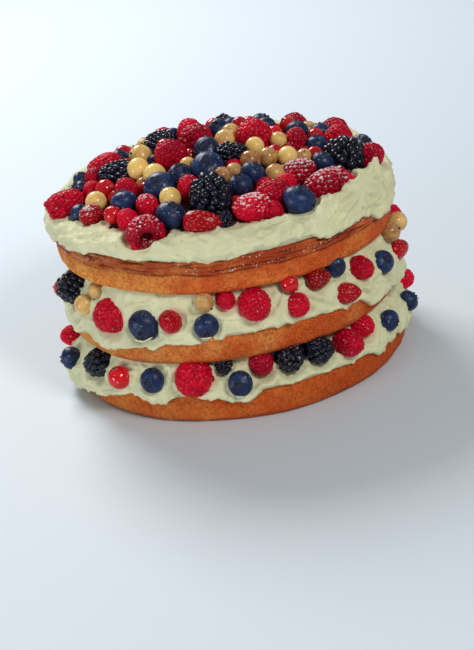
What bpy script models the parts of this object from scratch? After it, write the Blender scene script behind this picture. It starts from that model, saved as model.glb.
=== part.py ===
"""Layer cake: three sponges with whipped cream and mixed berries between and on top.

Blender metres, Z up, the front of the cake towards -Y, its base on Z = 0.
Sizes below are millimetres. A bearing is in degrees from the front towards +X.
"""

import math
import random

import bmesh
import bpy
from mathutils import Vector

MM = 0.001
GAP = 0.35  # clearance between two pieces that touch
STEPS = 36  # facets round a sponge or a layer of cream

CAKE_RADIUS = 97.5

# Each sponge disc leans a little: "lean" is its rise at the edge on the bearing "uphill".
SPONGES = {
    "sponge_bottom": {"base": 0.0, "top": 20.5, "lean": 0.0, "uphill": 0, "wave": 0.0},
    "sponge_middle": {"base": 33.6, "top": 52.2, "lean": 3.5, "uphill": 12, "wave": 2.1},
    "sponge_top": {"base": 76.8, "top": 101.0, "lean": 2.9, "uphill": -90, "wave": 4.0},
}

# The cream's edge: bearing, height of its lower lip, radius that it reaches.
BOTTOM_LIP = (
    (-90, 8, 104), (-76, 5, 105), (-60, 8, 101), (-50, 13, 100), (-42, 16, 99.5),
    (-34, 13, 100.5), (-20, 18, 99.5), (-8, 15, 100), (-2, 13, 101), (6, 19, 99),
    (38, 18, 99.5), (50, 14, 100.5), (60, 15, 100), (74, 10, 101), (92, 9, 101.5),
    (112, 15, 100), (128, 10, 101), (150, 17, 99.5), (172, 12, 101), (196, 17, 99.5),
    (218, 11, 101), (242, 16, 100), (258, 11, 102),
)
MIDDLE_LIP = (
    (-90, 43, 99), (-72, 43, 99.5), (-60, 46, 100), (-50, 43, 101), (-32, 48, 100),
    (-16, 50, 99.5), (-2, 54, 99.5), (16, 54, 100), (32, 52, 99.5), (42, 50, 100),
    (49, 44, 101), (57, 45, 101), (72, 41, 100.5), (92, 40, 100), (112, 46, 99.5),
    (130, 41, 101), (152, 45, 100), (176, 40, 101), (200, 46, 99.5), (222, 41, 101),
    (246, 45, 99.5),
)
# How far the cream's upper edge is tucked in under the sponge above: bearing, depth.
BOTTOM_TUCK = (
    (-90, 2.5), (-62, 3.5), (-46, 1.5), (-26, 1.0), (-12, 3.5), (2, 5.0), (15, 7.5), (30, 7.5),
    (40, 4.5), (54, 2.5), (76, 2.0), (110, 4.0), (150, 2.0), (185, 5.5), (225, 2.5), (255, 4.0),
)
MIDDLE_TUCK = (
    (-90, 5.0), (-64, 5.0), (-48, 1.5), (-30, 2.0), (-14, 4.5), (0, 5.0), (14, 5.5), (26, 4.5),
    (36, 5.5), (46, 2.5), (62, 1.5), (90, 1.5), (120, 4.0), (155, 5.5), (190, 2.0), (228, 5.0),
)
# On the top there is a third value, the height of the cream's shoulder.
TOP_LIP = (
    (-90, 98, 99.5, 108), (-62, 99, 99.5, 109), (-45, 101, 99.5, 109), (-25, 100.5, 100, 110),
    (-3, 97.5, 100.5, 110), (12, 100, 100, 109), (27, 99, 100, 109), (34, 95.5, 101, 111),
    (48, 96, 101, 114), (60, 90, 102, 114.5), (74, 91, 101, 112), (94, 93, 100, 109),
    (120, 96, 101, 110), (145, 92, 101, 108), (172, 98, 100, 110), (200, 94, 101, 109),
    (226, 99, 100, 110), (250, 94, 101, 108),
)

# Low shapes of the fruit: rings of (radius / width, height / length) from the tip down,
# the tip's and the base's own heights, the number of sides and how far the drupelets stand out.
FRUIT = {
    "raspberry": {
        "rings": ((0.29, 0.4), (0.48, 0.1), (0.49, -0.27), (0.28, -0.48)),
        "tip": 0.5, "base": -0.44, "sides": 7, "bumps": 0.05, "long": 1.05,
    },
    "bramble": {
        "rings": ((0.3, 0.38), (0.49, 0.08), (0.46, -0.25), (0.25, -0.46)),
        "tip": 0.5, "base": -0.5, "sides": 7, "bumps": 0.06, "long": 1.15,
    },
    "strawberry": {
        "rings": ((0.22, 0.37), (0.42, 0.08), (0.48, -0.22), (0.28, -0.46)),
        "tip": 0.5, "base": -0.48, "sides": 7, "bumps": 0.0, "long": 1.2,
    },
    "blueberry": {
        "rings": ((0.17, 0.46), (0.41, 0.3), (0.5, 0.0), (0.38, -0.34)),
        "tip": 0.36, "base": -0.5, "sides": 7, "bumps": 0.0, "long": 0.88,
    },
    "redcurrant": {
        "rings": ((0.38, 0.33), (0.5, -0.02), (0.36, -0.36)),
        "tip": 0.5, "base": -0.5, "sides": 6, "bumps": 0.0, "long": 1.0,
    },
    "whitecurrant": {
        "rings": ((0.38, 0.33), (0.5, -0.02), (0.36, -0.36)),
        "tip": 0.5, "base": -0.5, "sides": 6, "bumps": 0.0, "long": 1.0,
    },
}
FLAT = 0.4  # facets that turn less than this, in degrees, are joined after a cut
# The heap's fruit is simpler: only the three rings nearest its tip, and fewer sides.
HEAP_SIDES = 6
SMALL_SIDES = 5
SMALL_WIDTH = 14.0

# Fruit in the two fillings, left to right across the front and then round the back:
# kind, bearing, height, distance of its middle from the axis, width, length.
# A seventh value turns the tip off the outward direction, sideways along the edge.
BOTTOM_FRUIT = (
    ("raspberry", -89, 26.5, 100, 13, 13),
    ("blueberry", -77, 21.5, 103, 14, 12.5),
    ("bramble", -60, 27, 95.8, 17, 18),
    ("redcurrant", -46, 25.5, 99.8, 13.5, 13.5),
    ("blueberry", -32.5, 27, 98.8, 14.5, 13),
    ("raspberry", -18, 28.5, 98.8, 21.5, 19),
    ("bramble", -8, 32.5, 92.8, 10, 11),
    ("blueberry", -3, 24.5, 100.3, 14.5, 13),
    ("raspberry", 4.8, 31, 93.3, 14.5, 15),
    ("bramble", 14.8, 30.5, 93.8, 16.2, 18),
    ("bramble", 25.2, 30.5, 94.8, 16.2, 18),
    ("raspberry", 36, 28.5, 99.3, 15.5, 18),
    ("raspberry", 46, 31, 93.8, 14, 15),
    ("blueberry", 58, 26, 98.8, 12.5, 11.5),
    ("blueberry", 79, 21.5, 101, 12.5, 11.5),
    ("raspberry", 93, 25.5, 100, 13.5, 14),
    ("whitecurrant", 115, 26.5, 98.8, 11.5, 11.5),
    ("raspberry", 136, 26.5, 98.8, 13, 15),
    ("blueberry", 159, 25, 100.3, 12.5, 12),
    ("bramble", 181, 26, 97.8, 13, 17),
    ("redcurrant", 203, 25.5, 99.8, 11.5, 11.5),
    ("raspberry", 226, 26.5, 98.8, 13, 15),
    ("blueberry", 249, 26.5, 99.8, 13, 12),
)
MIDDLE_FRUIT = (
    ("redcurrant", -92, 55, 99, 12.5, 12.5),
    ("bramble", -73, 67, 93.8, 21, 22),
    ("whitecurrant", -59, 65, 98.8, 12, 12),
    ("whitecurrant", -54.5, 74, 93.8, 10, 10),
    ("raspberry", -46.5, 62.5, 96.8, 21, 22),
    ("blueberry", -32, 60.5, 97.8, 18.5, 16.5),
    ("strawberry", -22, 63.5, 99.8, 13, 15, 20),
    ("blueberry", -11, 59.5, 96.8, 14.5, 13.5),
    ("whitecurrant", -10.5, 73.5, 96.8, 11, 11),
    ("raspberry", -3.7, 71.5, 91.8, 11.5, 13),
    ("raspberry", 5.5, 67.5, 97.8, 18, 19),
    ("redcurrant", 18.2, 74, 94.8, 10, 10),
    ("raspberry", 19.5, 61.5, 97.8, 13.5, 14),
    ("strawberry", 29, 71.5, 94.8, 12, 15, 80),
    ("blueberry", 37.5, 73, 92.8, 12, 11),
    ("strawberry", 38, 58, 98.8, 12.5, 16, 40),
    ("raspberry", 47, 66.5, 97.8, 13.5, 15),
    ("blueberry", 59.5, 61, 97.8, 14, 13),
    ("whitecurrant", 71, 71, 97.8, 12, 12),
    ("strawberry", 75, 57.5, 99.8, 11.5, 17, 60),
    ("whitecurrant", 84, 68, 99.8, 12, 12),
    ("raspberry", 100, 62, 97.8, 17, 18),
    ("blueberry", 118, 60, 97.8, 15, 13.5),
    ("strawberry", 136, 64, 97.8, 14, 16),
    ("bramble", 155, 62, 95.8, 19, 20),
    ("whitecurrant", 174, 64, 98.8, 12, 12),
    ("raspberry", 192, 61, 97.8, 18, 19),
    ("blueberry", 211, 64, 97.8, 15, 13.5),
    ("redcurrant", 229, 60, 99.8, 13, 13),
    ("raspberry", 248, 63, 97.8, 17, 18),
)

# The heap of fruit on the top: kind, x, y, width and, where the fruit shows its length,
# its length and the bearing and lift of its tip.
HEAP_RADIUS = 90.0
HEAP_RIM = 110.0  # height of the middles of the fruit at the heap's rim
HEAP_RISE = 22.0  # how much higher they lie over the axis
HEAP_BACK = 18.0  # behind this the heap falls away faster
HEAP_FALL = 0.004
HEAP_FRUIT = (
    ("raspberry", -87, -14, 17, 23, 100, 20),
    ("blueberry", -78, 18, 10),
    ("blueberry", -79, 0, 11),
    ("raspberry", -69, 2, 13),
    ("raspberry", -62, 15, 16, 20, 120, 20),
    ("blueberry", -54, 23, 10.5),
    ("bramble", -55, -8, 16, 22, -90, 10),
    ("redcurrant", -63, -21, 11.5),
    ("whitecurrant", -69, -30, 12.5),
    ("strawberry", -73, -41, 13, 15, -40, 10),
    ("redcurrant", -60, -51, 10.5),
    ("blueberry", -53, -44, 15),
    ("raspberry", -51, -32, 13),
    ("raspberry", -52, -60, 12),
    ("raspberry", -43, -76, 21, 20, 185, 35),
    ("raspberry", -40, -55, 13, 14, -10, 60),
    ("blueberry", -32, -44, 18.5),
    ("whitecurrant", -34, -29, 13),
    ("whitecurrant", -43, -14, 13),
    ("whitecurrant", -41, 4, 14),
    ("bramble", -29, 20, 14, 18, -90, 10),
    ("raspberry", -24, -10, 19, 20, -20, 50),
    ("blueberry", -17, 48, 9.5),
    ("raspberry", -8, 5, 20, 20, 30, 40),
    ("blueberry", -4, -37, 19.5),
    ("raspberry", -16, -51, 14),
    ("blueberry", -20, -37, 14),
    ("whitecurrant", -27, -56, 12.5),
    ("blueberry", -28, -70, 17),
    ("bramble", -5, -64, 25.5, 29, 10, 70),
    ("strawberry", -11, -81, 13, 22, 80, -5),
    ("raspberry", 15, -76, 17, 21, -60, 10),
    ("raspberry", 28, -65, 14, 19, -70, 5),
    ("raspberry", 58, -57, 17.5, 26, -75, 0),
    ("blueberry", 42, -72, 18.5),
    ("blueberry", 12, -57, 14),
    ("blueberry", 20, -47, 14),
    ("whitecurrant", 10, -44, 10),
    ("whitecurrant", 3, -47, 10.5),
    ("whitecurrant", 20, -34, 12),
    ("whitecurrant", 30, -31, 11.5),
    ("whitecurrant", 41, -30, 12),
    ("whitecurrant", 32, -48, 11),
    ("whitecurrant", 50, -28, 9),
    ("raspberry", 46, -45, 15, 19, 80, 20),
    ("bramble", 9, 54, 16.5),
    ("blueberry", 13, 44, 12),
    ("bramble", 11, -25, 14, 19, 90, 0),
    ("whitecurrant", 8, -3, 12),
    ("whitecurrant", 12, 9, 11),
    ("raspberry", 25, -1, 21.5, 21, 20, 60),
    ("whitecurrant", 38, -8, 10),
    ("raspberry", 48, -5, 14),
    ("blueberry", 50, 12, 14),
    ("raspberry", 50, 46, 18, 19, 20, 60),
    ("blueberry", 59, -10, 13),
    ("redcurrant", 60, 5, 10),
    ("raspberry", 73, 33, 18, 18, 60, 50),
    ("bramble", 72, -25, 26, 27, 60, 60),
    ("blueberry", 86, 8, 13),
    ("raspberry", 88, -20, 16, 16, 100, 20),
    ("raspberry", 37, -57, 12),
    ("blueberry", 60, -32, 13),
    ("blueberry", -22, 33, 11),
    ("redcurrant", -39, 43, 10),
    ("whitecurrant", -39, 30, 9),
)

# Fruit added by rule wherever the heap would still be bare, as round its back: first all
# kinds, then small ones a little lower in the gaps. Each kind has its width.
FILL_TRIES = 500
FILL_REACH = 86.0
FILL_DRAWN_IN = 0.28  # how much less far the fruit reaches for each millimetre towards the back
FILL_SEED = 7
FILL_PASSES = (
    (0.0, (("raspberry", 17), ("blueberry", 15), ("whitecurrant", 12), ("bramble", 19),
           ("raspberry", 19), ("redcurrant", 11), ("blueberry", 13), ("strawberry", 17))),
    (2.0, (("blueberry", 12), ("redcurrant", 10.5), ("whitecurrant", 11), ("raspberry", 12))),
)

COLOURS = {
    "sponge_bottom": ("A9562C", 0.85),
    "sponge_middle": ("B5652F", 0.85),
    "sponge_top": ("B86A33", 0.8),
    "cream": ("D6DEBD", 0.5),
    "raspberry": ("B8102C", 0.45),
    "bramble": ("151528", 0.35),
    "blueberry": ("2A3F70", 0.5),
    "redcurrant": ("C4101C", 0.2),
    "whitecurrant": ("DDB877", 0.25),
    "strawberry": ("B1101F", 0.3),
    "berry_heap": ("7A1830", 0.45),
}


def clear_scene():
    for obj in list(bpy.data.objects):
        bpy.data.objects.remove(obj, do_unlink=True)


def linear(channel):
    return channel / 12.92 if channel <= 0.04045 else ((channel + 0.055) / 1.055) ** 2.4


def add_material(obj, colour_name):
    """A plain Principled material from the named colour."""
    code, roughness = COLOURS[colour_name]
    material = bpy.data.materials.new(obj.name)
    material.use_nodes = True
    shader = material.node_tree.nodes["Principled BSDF"]
    rgb = [linear(int(code[i:i + 2], 16) / 255) for i in (0, 2, 4)]
    shader.inputs["Base Color"].default_value = (*rgb, 1)
    shader.inputs["Roughness"].default_value = roughness
    shader.inputs["Metallic"].default_value = 0.0
    obj.data.materials.clear()
    obj.data.materials.append(material)


def ring_mesh(name, rings, first, last):
    """A closed body from rings of equal length, listed bottom to top, and its two end points."""
    bm = bmesh.new()
    loops = [[bm.verts.new(point * MM) for point in ring] for ring in rings]
    bottom = bm.verts.new(first * MM)
    top = bm.verts.new(last * MM)
    count = len(loops[0])
    for lower, upper in zip(loops, loops[1:]):
        for i in range(count):
            j = (i + 1) % count
            bm.faces.new((lower[i], lower[j], upper[j], upper[i]))
    for i in range(count):
        j = (i + 1) % count
        bm.faces.new((bottom, loops[0][j], loops[0][i]))
        bm.faces.new((top, loops[-1][i], loops[-1][j]))
    bmesh.ops.triangulate(bm, faces=bm.faces[:])
    bmesh.ops.recalc_face_normals(bm, faces=bm.faces[:])
    mesh = bpy.data.meshes.new(name)
    bm.to_mesh(mesh)
    bm.free()
    obj = bpy.data.objects.new(name, mesh)
    bpy.context.scene.collection.objects.link(obj)
    return obj


def at(bearing, radius, height):
    turn = math.radians(bearing)
    return Vector((radius * math.sin(turn), -radius * math.cos(turn), height))


def bearings():
    return [360 * i / STEPS for i in range(STEPS)]


def level(sponge, side, bearing, radius):
    """Height of a sponge's base or top, which lean together."""
    slope = sponge["lean"] * radius / CAKE_RADIUS
    return sponge[side] + slope * math.cos(math.radians(bearing - sponge["uphill"]))


def sponge_radius(sponge, bearing):
    """The baked edge is a little out of round."""
    turn = math.radians(bearing)
    wave = sponge["wave"]
    return (CAKE_RADIUS + 0.7 * math.sin(2 * turn + wave) + 0.5 * math.sin(5 * turn + 2 * wave)
            + 0.3 * math.sin(9 * turn + wave))


def build_sponge(name, grow=0.0):
    """A disc with a rounded top crust. Grow offsets its whole surface outwards."""
    sponge = SPONGES[name]
    # inset from the full radius, rise above the base (or, if negative, depth below the top)
    edge = [(3.0, 0.0), (0.9, 3.0), (0.0, 12.0), (1.0, -3.0), (5.0, 0.0)]
    if name == "sponge_top":
        edge = [(3.6, 0.0), (1.2, 3.0), (0.7, 15.0), (-0.2, -6.0), (0.9, -2.5), (5.0, 0.0)]
    rings = []
    for order, (inset, rise) in enumerate(edge):
        from_top = rise < 0 or order == len(edge) - 1
        ring = []
        for bearing in bearings():
            radius = sponge_radius(sponge, bearing) - inset
            height = level(sponge, "top" if from_top else "base", bearing, radius) + rise
            if order == 0:
                height -= grow
            if order == len(edge) - 1:
                height += grow
            ring.append(at(bearing, radius + grow, height))
        rings.append(ring)
    first = Vector((0, 0, sponge["base"] - grow))
    last = Vector((0, 0, sponge["top"] + grow))
    return ring_mesh(name if grow == 0 else f"{name}_cutter", rings, first, last)


def along(knots, bearing):
    """The values at a bearing, eased from each knot to the next right round the cake."""
    bearing = (bearing - knots[0][0]) % 360 + knots[0][0]
    closed = knots + ((knots[0][0] + 360, *knots[0][1:]),)
    for low, high in zip(closed, closed[1:]):
        if low[0] <= bearing <= high[0]:
            share = (bearing - low[0]) / (high[0] - low[0])
            ease = share * share * (3 - 2 * share)
            return [a + (b - a) * ease for a, b in zip(low[1:], high[1:])]
    return list(knots[0][1:])


def build_filling(name, lower_name, upper_name, knots, tucks):
    """Cream from one sponge to the next. Its middle runs into both, and they are cut away."""
    lower, upper = SPONGES[lower_name], SPONGES[upper_name]
    rings = [[] for _ in range(7)]
    for bearing in bearings():
        lip, reach = along(knots, bearing)
        tuck = along(tucks, bearing)[0]
        edge = sponge_radius(lower, bearing)
        floor = level(lower, "top", bearing, edge)
        roof = level(upper, "base", bearing, edge)
        lip = min(lip, floor - 2.0)
        outline = (
            (edge - 10, floor - 4),
            (edge - 2.5, min(lip, floor - 4)),
            (edge + (reach - edge) * 0.6, lip),
            (reach, lip + 2.5),
            (reach - 2.0 - 0.15 * tuck, (lip + roof) / 2 + 1 - 0.3 * tuck),
            (edge - 1.5 - 0.9 * tuck, roof - 1.3 - 0.4 * tuck),
            (edge - 7 - 0.9 * tuck, roof + 4),
        )
        for ring, (radius, height) in zip(rings, outline):
            ring.append(at(bearing, radius, height))
    first = Vector((0, 0, lower["top"] - 4))
    last = Vector((0, 0, upper["base"] + 4))
    return ring_mesh(name, rings, first, last)


def build_top_cream(name, grow=0.0):
    """Cream spread over the top sponge, swept up into a shoulder round the fruit."""
    sponge = SPONGES["sponge_top"]
    rings = [[] for _ in range(8)]
    for bearing in bearings():
        lip, reach, shoulder = along(TOP_LIP, bearing)
        edge = sponge_radius(sponge, bearing)
        floor = level(sponge, "top", bearing, edge)
        lip = min(lip, floor - 0.6) - grow
        reach += grow
        shoulder += grow
        outline = (
            (edge - 10, floor - 4),
            (edge - 2.5, min(lip, floor - 4)),
            (edge + (reach - edge) * 0.6, lip),
            (reach, lip + 2.5),
            (reach - 1.5, (lip + shoulder) / 2 + 1),
            (reach - 7, shoulder - 1),
            (reach - 14, shoulder),
            (reach - 24, 109 + grow),
        )
        for ring, (radius, height) in zip(rings, outline):
            ring.append(at(bearing, radius, height))
    first = Vector((0, 0, sponge["top"] - 4))
    last = Vector((0, 0, 112 + grow))
    return ring_mesh(name, rings, first, last)


def build_fruit(name, kind, width, length, place, tip, sides=0):
    """One berry with its tip along the given direction, simpler if the sides are given."""
    shape = FRUIT[kind]
    outline = shape["rings"][:3] if sides else shape["rings"]
    sides = sides or shape["sides"]
    turn = Vector((0, 0, 1)).rotation_difference(tip).to_matrix()
    rings = []
    for row, (radius, height) in enumerate(reversed(outline)):
        ring = []
        for i in range(sides):
            bump = shape["bumps"] if (i + row) % 2 else -shape["bumps"]
            angle = 2 * math.pi * i / sides
            out = width * radius * (1 + bump)
            local = Vector((out * math.cos(angle), out * math.sin(angle), length * height))
            ring.append(place + turn @ local)
        rings.append(ring)
    first = place + turn @ Vector((0, 0, length * shape["base"]))
    last = place + turn @ Vector((0, 0, length * shape["tip"]))
    return ring_mesh(name, rings, first, last)


def build_socket(name, width, length, place, tip):
    """A plain barrel that clears a berry, to press its room into the cream."""
    turn = Vector((0, 0, 1)).rotation_difference(tip).to_matrix()
    rings = []
    for share, height in ((0.61, -0.36), (0.61, 0.3)):
        ring = []
        for i in range(6):
            angle = 2 * math.pi * i / 6
            out = (width + 2 * GAP) * share
            local = Vector((out * math.cos(angle), out * math.sin(angle),
                            (length + 2 * GAP) * height))
            ring.append(place + turn @ local)
        rings.append(ring)
    reach = turn @ Vector((0, 0, (length + 2 * GAP) * 0.62))
    return ring_mesh(name, rings, place - reach, place + reach)


def hide(obj):
    obj.hide_render = True
    obj.display_type = "WIRE"
    return obj


def combine(target, others, operation, solver="EXACT"):
    """Applies one Boolean of the target with a collection of bodies, which are then removed."""
    group = bpy.data.collections.new("operands")
    bpy.context.scene.collection.children.link(group)
    for obj in others:
        group.objects.link(obj)
    modifier = target.modifiers.new("Boolean", "BOOLEAN")
    modifier.operation = operation
    modifier.operand_type = "COLLECTION"
    modifier.collection = group
    modifier.solver = solver
    bpy.context.view_layer.update()
    graph = bpy.context.evaluated_depsgraph_get()
    result = bpy.data.meshes.new_from_object(target.evaluated_get(graph))
    target.modifiers.remove(modifier)
    old = target.data
    target.data = result
    bpy.data.meshes.remove(old)
    bpy.data.collections.remove(group)


def remove(objects):
    for obj in objects:
        bpy.data.objects.remove(obj, do_unlink=True)


def signed_volume(faces):
    total = 0.0
    for face in faces:
        corners = [loop.vert.co for loop in face.loops]
        for b, c in zip(corners[1:], corners[2:]):
            total += corners[0].dot(b.cross(c)) / 6
    return total


def keep_outer_shell(obj):
    """Keeps the largest shell: a sealed hollow is filled and a loose scrap is dropped."""
    bm = bmesh.new()
    bm.from_mesh(obj.data)
    bmesh.ops.triangulate(bm, faces=bm.faces[:])
    left = set(bm.faces)
    shells = []
    while left:
        shell = []
        front = [left.pop()]
        while front:
            face = front.pop()
            shell.append(face)
            for edge in face.edges:
                for other in edge.link_faces:
                    if other in left:
                        left.remove(other)
                        front.append(other)
        shells.append(shell)
    largest = max(shells, key=signed_volume)
    spare = [face for shell in shells if shell is not largest for face in shell]
    bmesh.ops.delete(bm, geom=spare, context="FACES")
    loose = [vert for vert in bm.verts if not vert.link_faces]
    bmesh.ops.delete(bm, geom=loose, context="VERTS")
    bmesh.ops.dissolve_limit(bm, angle_limit=math.radians(FLAT), verts=bm.verts[:],
                             edges=bm.edges[:])
    bmesh.ops.triangulate(bm, faces=bm.faces[:])
    bm.to_mesh(obj.data)
    bm.free()


def smooth(obj):
    obj.data.shade_smooth()
    obj.data.set_sharp_from_angle(angle=math.radians(50))


def lay_filling_fruit(layer, rows, lower_name, upper_name):
    """The berries of one filling, trimmed where the sponges press on them, and their sockets."""
    pieces = []
    sockets = []
    for number, row in enumerate(rows, 1):
        kind, bearing, height, radius, width, length = row[:6]
        aside = row[6] if len(row) > 6 else 0
        place = at(bearing, radius, height)
        tip = at(bearing + aside, 1, 0)
        name = f"{kind}_{layer}_{number:02d}"
        berry = build_fruit(name, kind, width, length, place, tip)
        squeeze = [build_sponge(lower_name, GAP), build_sponge(upper_name, GAP)]
        combine(berry, squeeze, "DIFFERENCE")
        remove(squeeze)
        keep_outer_shell(berry)
        smooth(berry)
        add_material(berry, kind)
        pieces.append(berry)
        sockets.append(hide(build_socket(f"{name}_socket", width, length, place, tip)))
    return pieces, sockets


def heap_height(x, y):
    """Height of the middles of the fruit: a low dome, lower at the back."""
    fall = HEAP_FALL * max(0.0, y - HEAP_BACK) ** 2
    return HEAP_RIM + HEAP_RISE * (1 - (x * x + y * y) / HEAP_RADIUS ** 2) - fall


def heap_normal(x, y):
    slope = 2 * HEAP_RISE / HEAP_RADIUS ** 2
    return Vector((slope * x, slope * y, 1)).normalized()


def heap_layout():
    """Every berry of the heap as kind, place, width, length and tip direction."""
    layout = []
    for row in HEAP_FRUIT:
        kind, x, y, width = row[:4]
        length = width * FRUIT[kind]["long"]
        tip = heap_normal(x, y)
        if len(row) > 4:
            length = row[4]
            tip = at(row[5], math.cos(math.radians(row[6])), math.sin(math.radians(row[6])))
        layout.append((kind, Vector((x, y, heap_height(x, y))), width, length, tip))
    draw = random.Random(FILL_SEED)
    for depth, kinds in FILL_PASSES:
        for i in range(FILL_TRIES):
            spot = at(137.5 * i, FILL_REACH * math.sqrt((i + 0.5) / FILL_TRIES), 0)
            kind, width = kinds[draw.randrange(len(kinds))]
            width *= draw.uniform(0.92, 1.06)
            lean = Vector((draw.uniform(-0.6, 0.6), draw.uniform(-0.6, 0.6), 0))
            if spot.length > FILL_REACH - FILL_DRAWN_IN * max(0.0, spot.y):
                continue
            spot.z = heap_height(spot.x, spot.y) - depth
            if any((spot - other[1]).length < 0.45 * (width + other[2]) for other in layout):
                continue
            tip = (heap_normal(spot.x, spot.y) + lean).normalized()
            layout.append((kind, spot, width, width * FRUIT[kind]["long"], tip))
    return layout


def build_heap_core():
    """The dome under the visible fruit."""
    rings = []
    for radius in (80, 85, 66, 40, 16):
        ring = []
        for i in range(18):
            bearing = 20 * i
            spot = at(bearing, radius, 0)
            height = 104 if not rings else heap_height(spot.x, spot.y) - 3.5
            ring.append(at(bearing, radius, height))
        rings.append(ring)
    top = Vector((0, 0, HEAP_RIM + HEAP_RISE - 3.5))
    return ring_mesh("berry_heap", rings, Vector((0, 0, 104)), top)


def build_heap():
    """The fruit on the top as one body, cut to sit on the cream."""
    heap = build_heap_core()
    berries = [
        build_fruit(f"heap_{i}", kind, width, length, place, tip,
                    HEAP_SIDES if width > SMALL_WIDTH else SMALL_SIDES)
        for i, (kind, place, width, length, tip) in enumerate(heap_layout())
    ]
    combine(heap, berries, "UNION")
    remove(berries)
    keep_outer_shell(heap)
    bed = build_top_cream("bed", GAP)
    combine(heap, [bed], "DIFFERENCE")
    remove([bed])
    keep_outer_shell(heap)
    smooth(heap)
    add_material(heap, "berry_heap")


def finish_cream(cream, sponge_names, sockets):
    """Cuts the sponges' and the berries' room out of a layer of cream."""
    cutters = [build_sponge(name, GAP) for name in sponge_names]
    combine(cream, cutters, "DIFFERENCE", "MANIFOLD")
    remove(cutters)
    if sockets:
        combine(cream, sockets, "DIFFERENCE", "MANIFOLD")
        remove(sockets)
    keep_outer_shell(cream)
    smooth(cream)
    add_material(cream, "cream")


def main():
    clear_scene()
    for name in SPONGES:
        sponge = build_sponge(name)
        smooth(sponge)
        add_material(sponge, name)
    layers = (
        ("bottom", BOTTOM_FRUIT, BOTTOM_LIP, BOTTOM_TUCK, "sponge_bottom", "sponge_middle"),
        ("middle", MIDDLE_FRUIT, MIDDLE_LIP, MIDDLE_TUCK, "sponge_middle", "sponge_top"),
    )
    for layer, rows, knots, tucks, lower, upper in layers:
        _, sockets = lay_filling_fruit(layer, rows, lower, upper)
        cream = build_filling(f"cream_{layer}", lower, upper, knots, tucks)
        finish_cream(cream, (lower, upper), sockets)
    finish_cream(build_top_cream("cream_top"), ("sponge_top",), [])
    build_heap()


if __name__ == "__main__":
    main()
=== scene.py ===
import math
import random

import bpy
import numpy as np
from mathutils import Matrix, Vector, noise


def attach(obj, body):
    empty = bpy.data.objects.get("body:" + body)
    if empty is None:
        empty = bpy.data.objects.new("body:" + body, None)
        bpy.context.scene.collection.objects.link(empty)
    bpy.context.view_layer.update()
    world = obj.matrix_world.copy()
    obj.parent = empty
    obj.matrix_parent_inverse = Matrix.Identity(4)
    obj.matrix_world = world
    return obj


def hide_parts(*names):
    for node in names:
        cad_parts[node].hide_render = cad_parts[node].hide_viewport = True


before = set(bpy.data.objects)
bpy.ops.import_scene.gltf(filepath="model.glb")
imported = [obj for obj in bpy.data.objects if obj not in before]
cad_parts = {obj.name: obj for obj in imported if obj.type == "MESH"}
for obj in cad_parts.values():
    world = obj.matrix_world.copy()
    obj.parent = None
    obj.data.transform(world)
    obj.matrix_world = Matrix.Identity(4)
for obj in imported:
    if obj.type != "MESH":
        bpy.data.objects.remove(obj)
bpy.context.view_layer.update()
mm = 0.001
print("frame loaded:", len(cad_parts), "nodes")


def linear(code):
    # sRGB hex to the linear colour that a socket takes
    channels = [int(code[i:i + 2], 16) / 255 for i in (0, 2, 4)]
    return (*[c / 12.92 if c <= 0.04045 else ((c + 0.055) / 1.055) ** 2.4 for c in channels], 1.0)


def fillInputs(node, inputs):
    # an input takes a value, a socket, or a node, which gives its first output in use
    for key, value in inputs.items():
        named = [s for s in node.inputs if s.name == key and s.enabled]
        socket = named[0] if named else node.inputs[key]
        if isinstance(value, bpy.types.Node):
            value = next(s for s in value.outputs if s.enabled)
        if isinstance(value, bpy.types.NodeSocket):
            node.id_data.links.new(value, socket)
        else:
            socket.default_value = value


nodeFamilies = ("ShaderNode", "GeometryNode", "FunctionNode", "Node")


def addNode(tree, kind, inputs=(), **settings):
    family = next(f for f in nodeFamilies if hasattr(bpy.types, f + kind))
    node = tree.nodes.new(family + kind)
    for key, value in settings.items():
        setattr(node, key, value)
    fillInputs(node, dict(inputs))
    return node


def addRows(tree, kind, keys, rows):
    # one node for each row of inputs
    return [addNode(tree, kind, zip(keys, row)) for row in rows]


def newMaterial(name, values):
    material = bpy.data.materials.new(name)
    material.use_nodes = True
    shader = material.node_tree.nodes["Principled BSDF"]
    fillInputs(shader, values)
    return material, material.node_tree, shader


def roundTheCake(steps):
    return np.arange(steps) * 360 / steps


def turnFrom(middle, bearing):
    return (bearing - middle + 180) % 360 - 180


def at(bearing, radius, height):
    turn = np.radians(bearing)
    return np.stack(np.broadcast_arrays(radius * np.sin(turn), -radius * np.cos(turn), height), -1)


def smoothStep(low, high, value):
    share = np.clip((value - low) / (high - low), 0, 1)
    return share * share * (3 - 2 * share)


def noiseAt(points, size, shift=0.0, flat=1.0):
    # soft noise about -1 to 1; size in mm, flat under 1 draws it out sideways
    scaled = points / np.array((size, size, size * flat)) + shift
    return np.array([noise.noise(Vector(p)) for p in scaled.reshape(-1, 3)]).reshape(points.shape[:-1])


def along(knots, bearing):
    # values eased from knot to knot right round the cake, for an array of bearings
    first = knots[0][0]
    turned = (bearing - first) % 360 + first
    table = np.array(knots + ((first + 360, *knots[0][1:]),), float)
    place = np.clip(np.searchsorted(table[:, 0], turned, side="right") - 1, 0, len(table) - 2)
    low, high = table[place], table[place + 1]
    share = (turned - low[:, 0]) / (high[:, 0] - low[:, 0])
    ease = (share * share * (3 - 2 * share))[:, None]
    return (low[:, 1:] + (high[:, 1:] - low[:, 1:]) * ease).T


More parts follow.
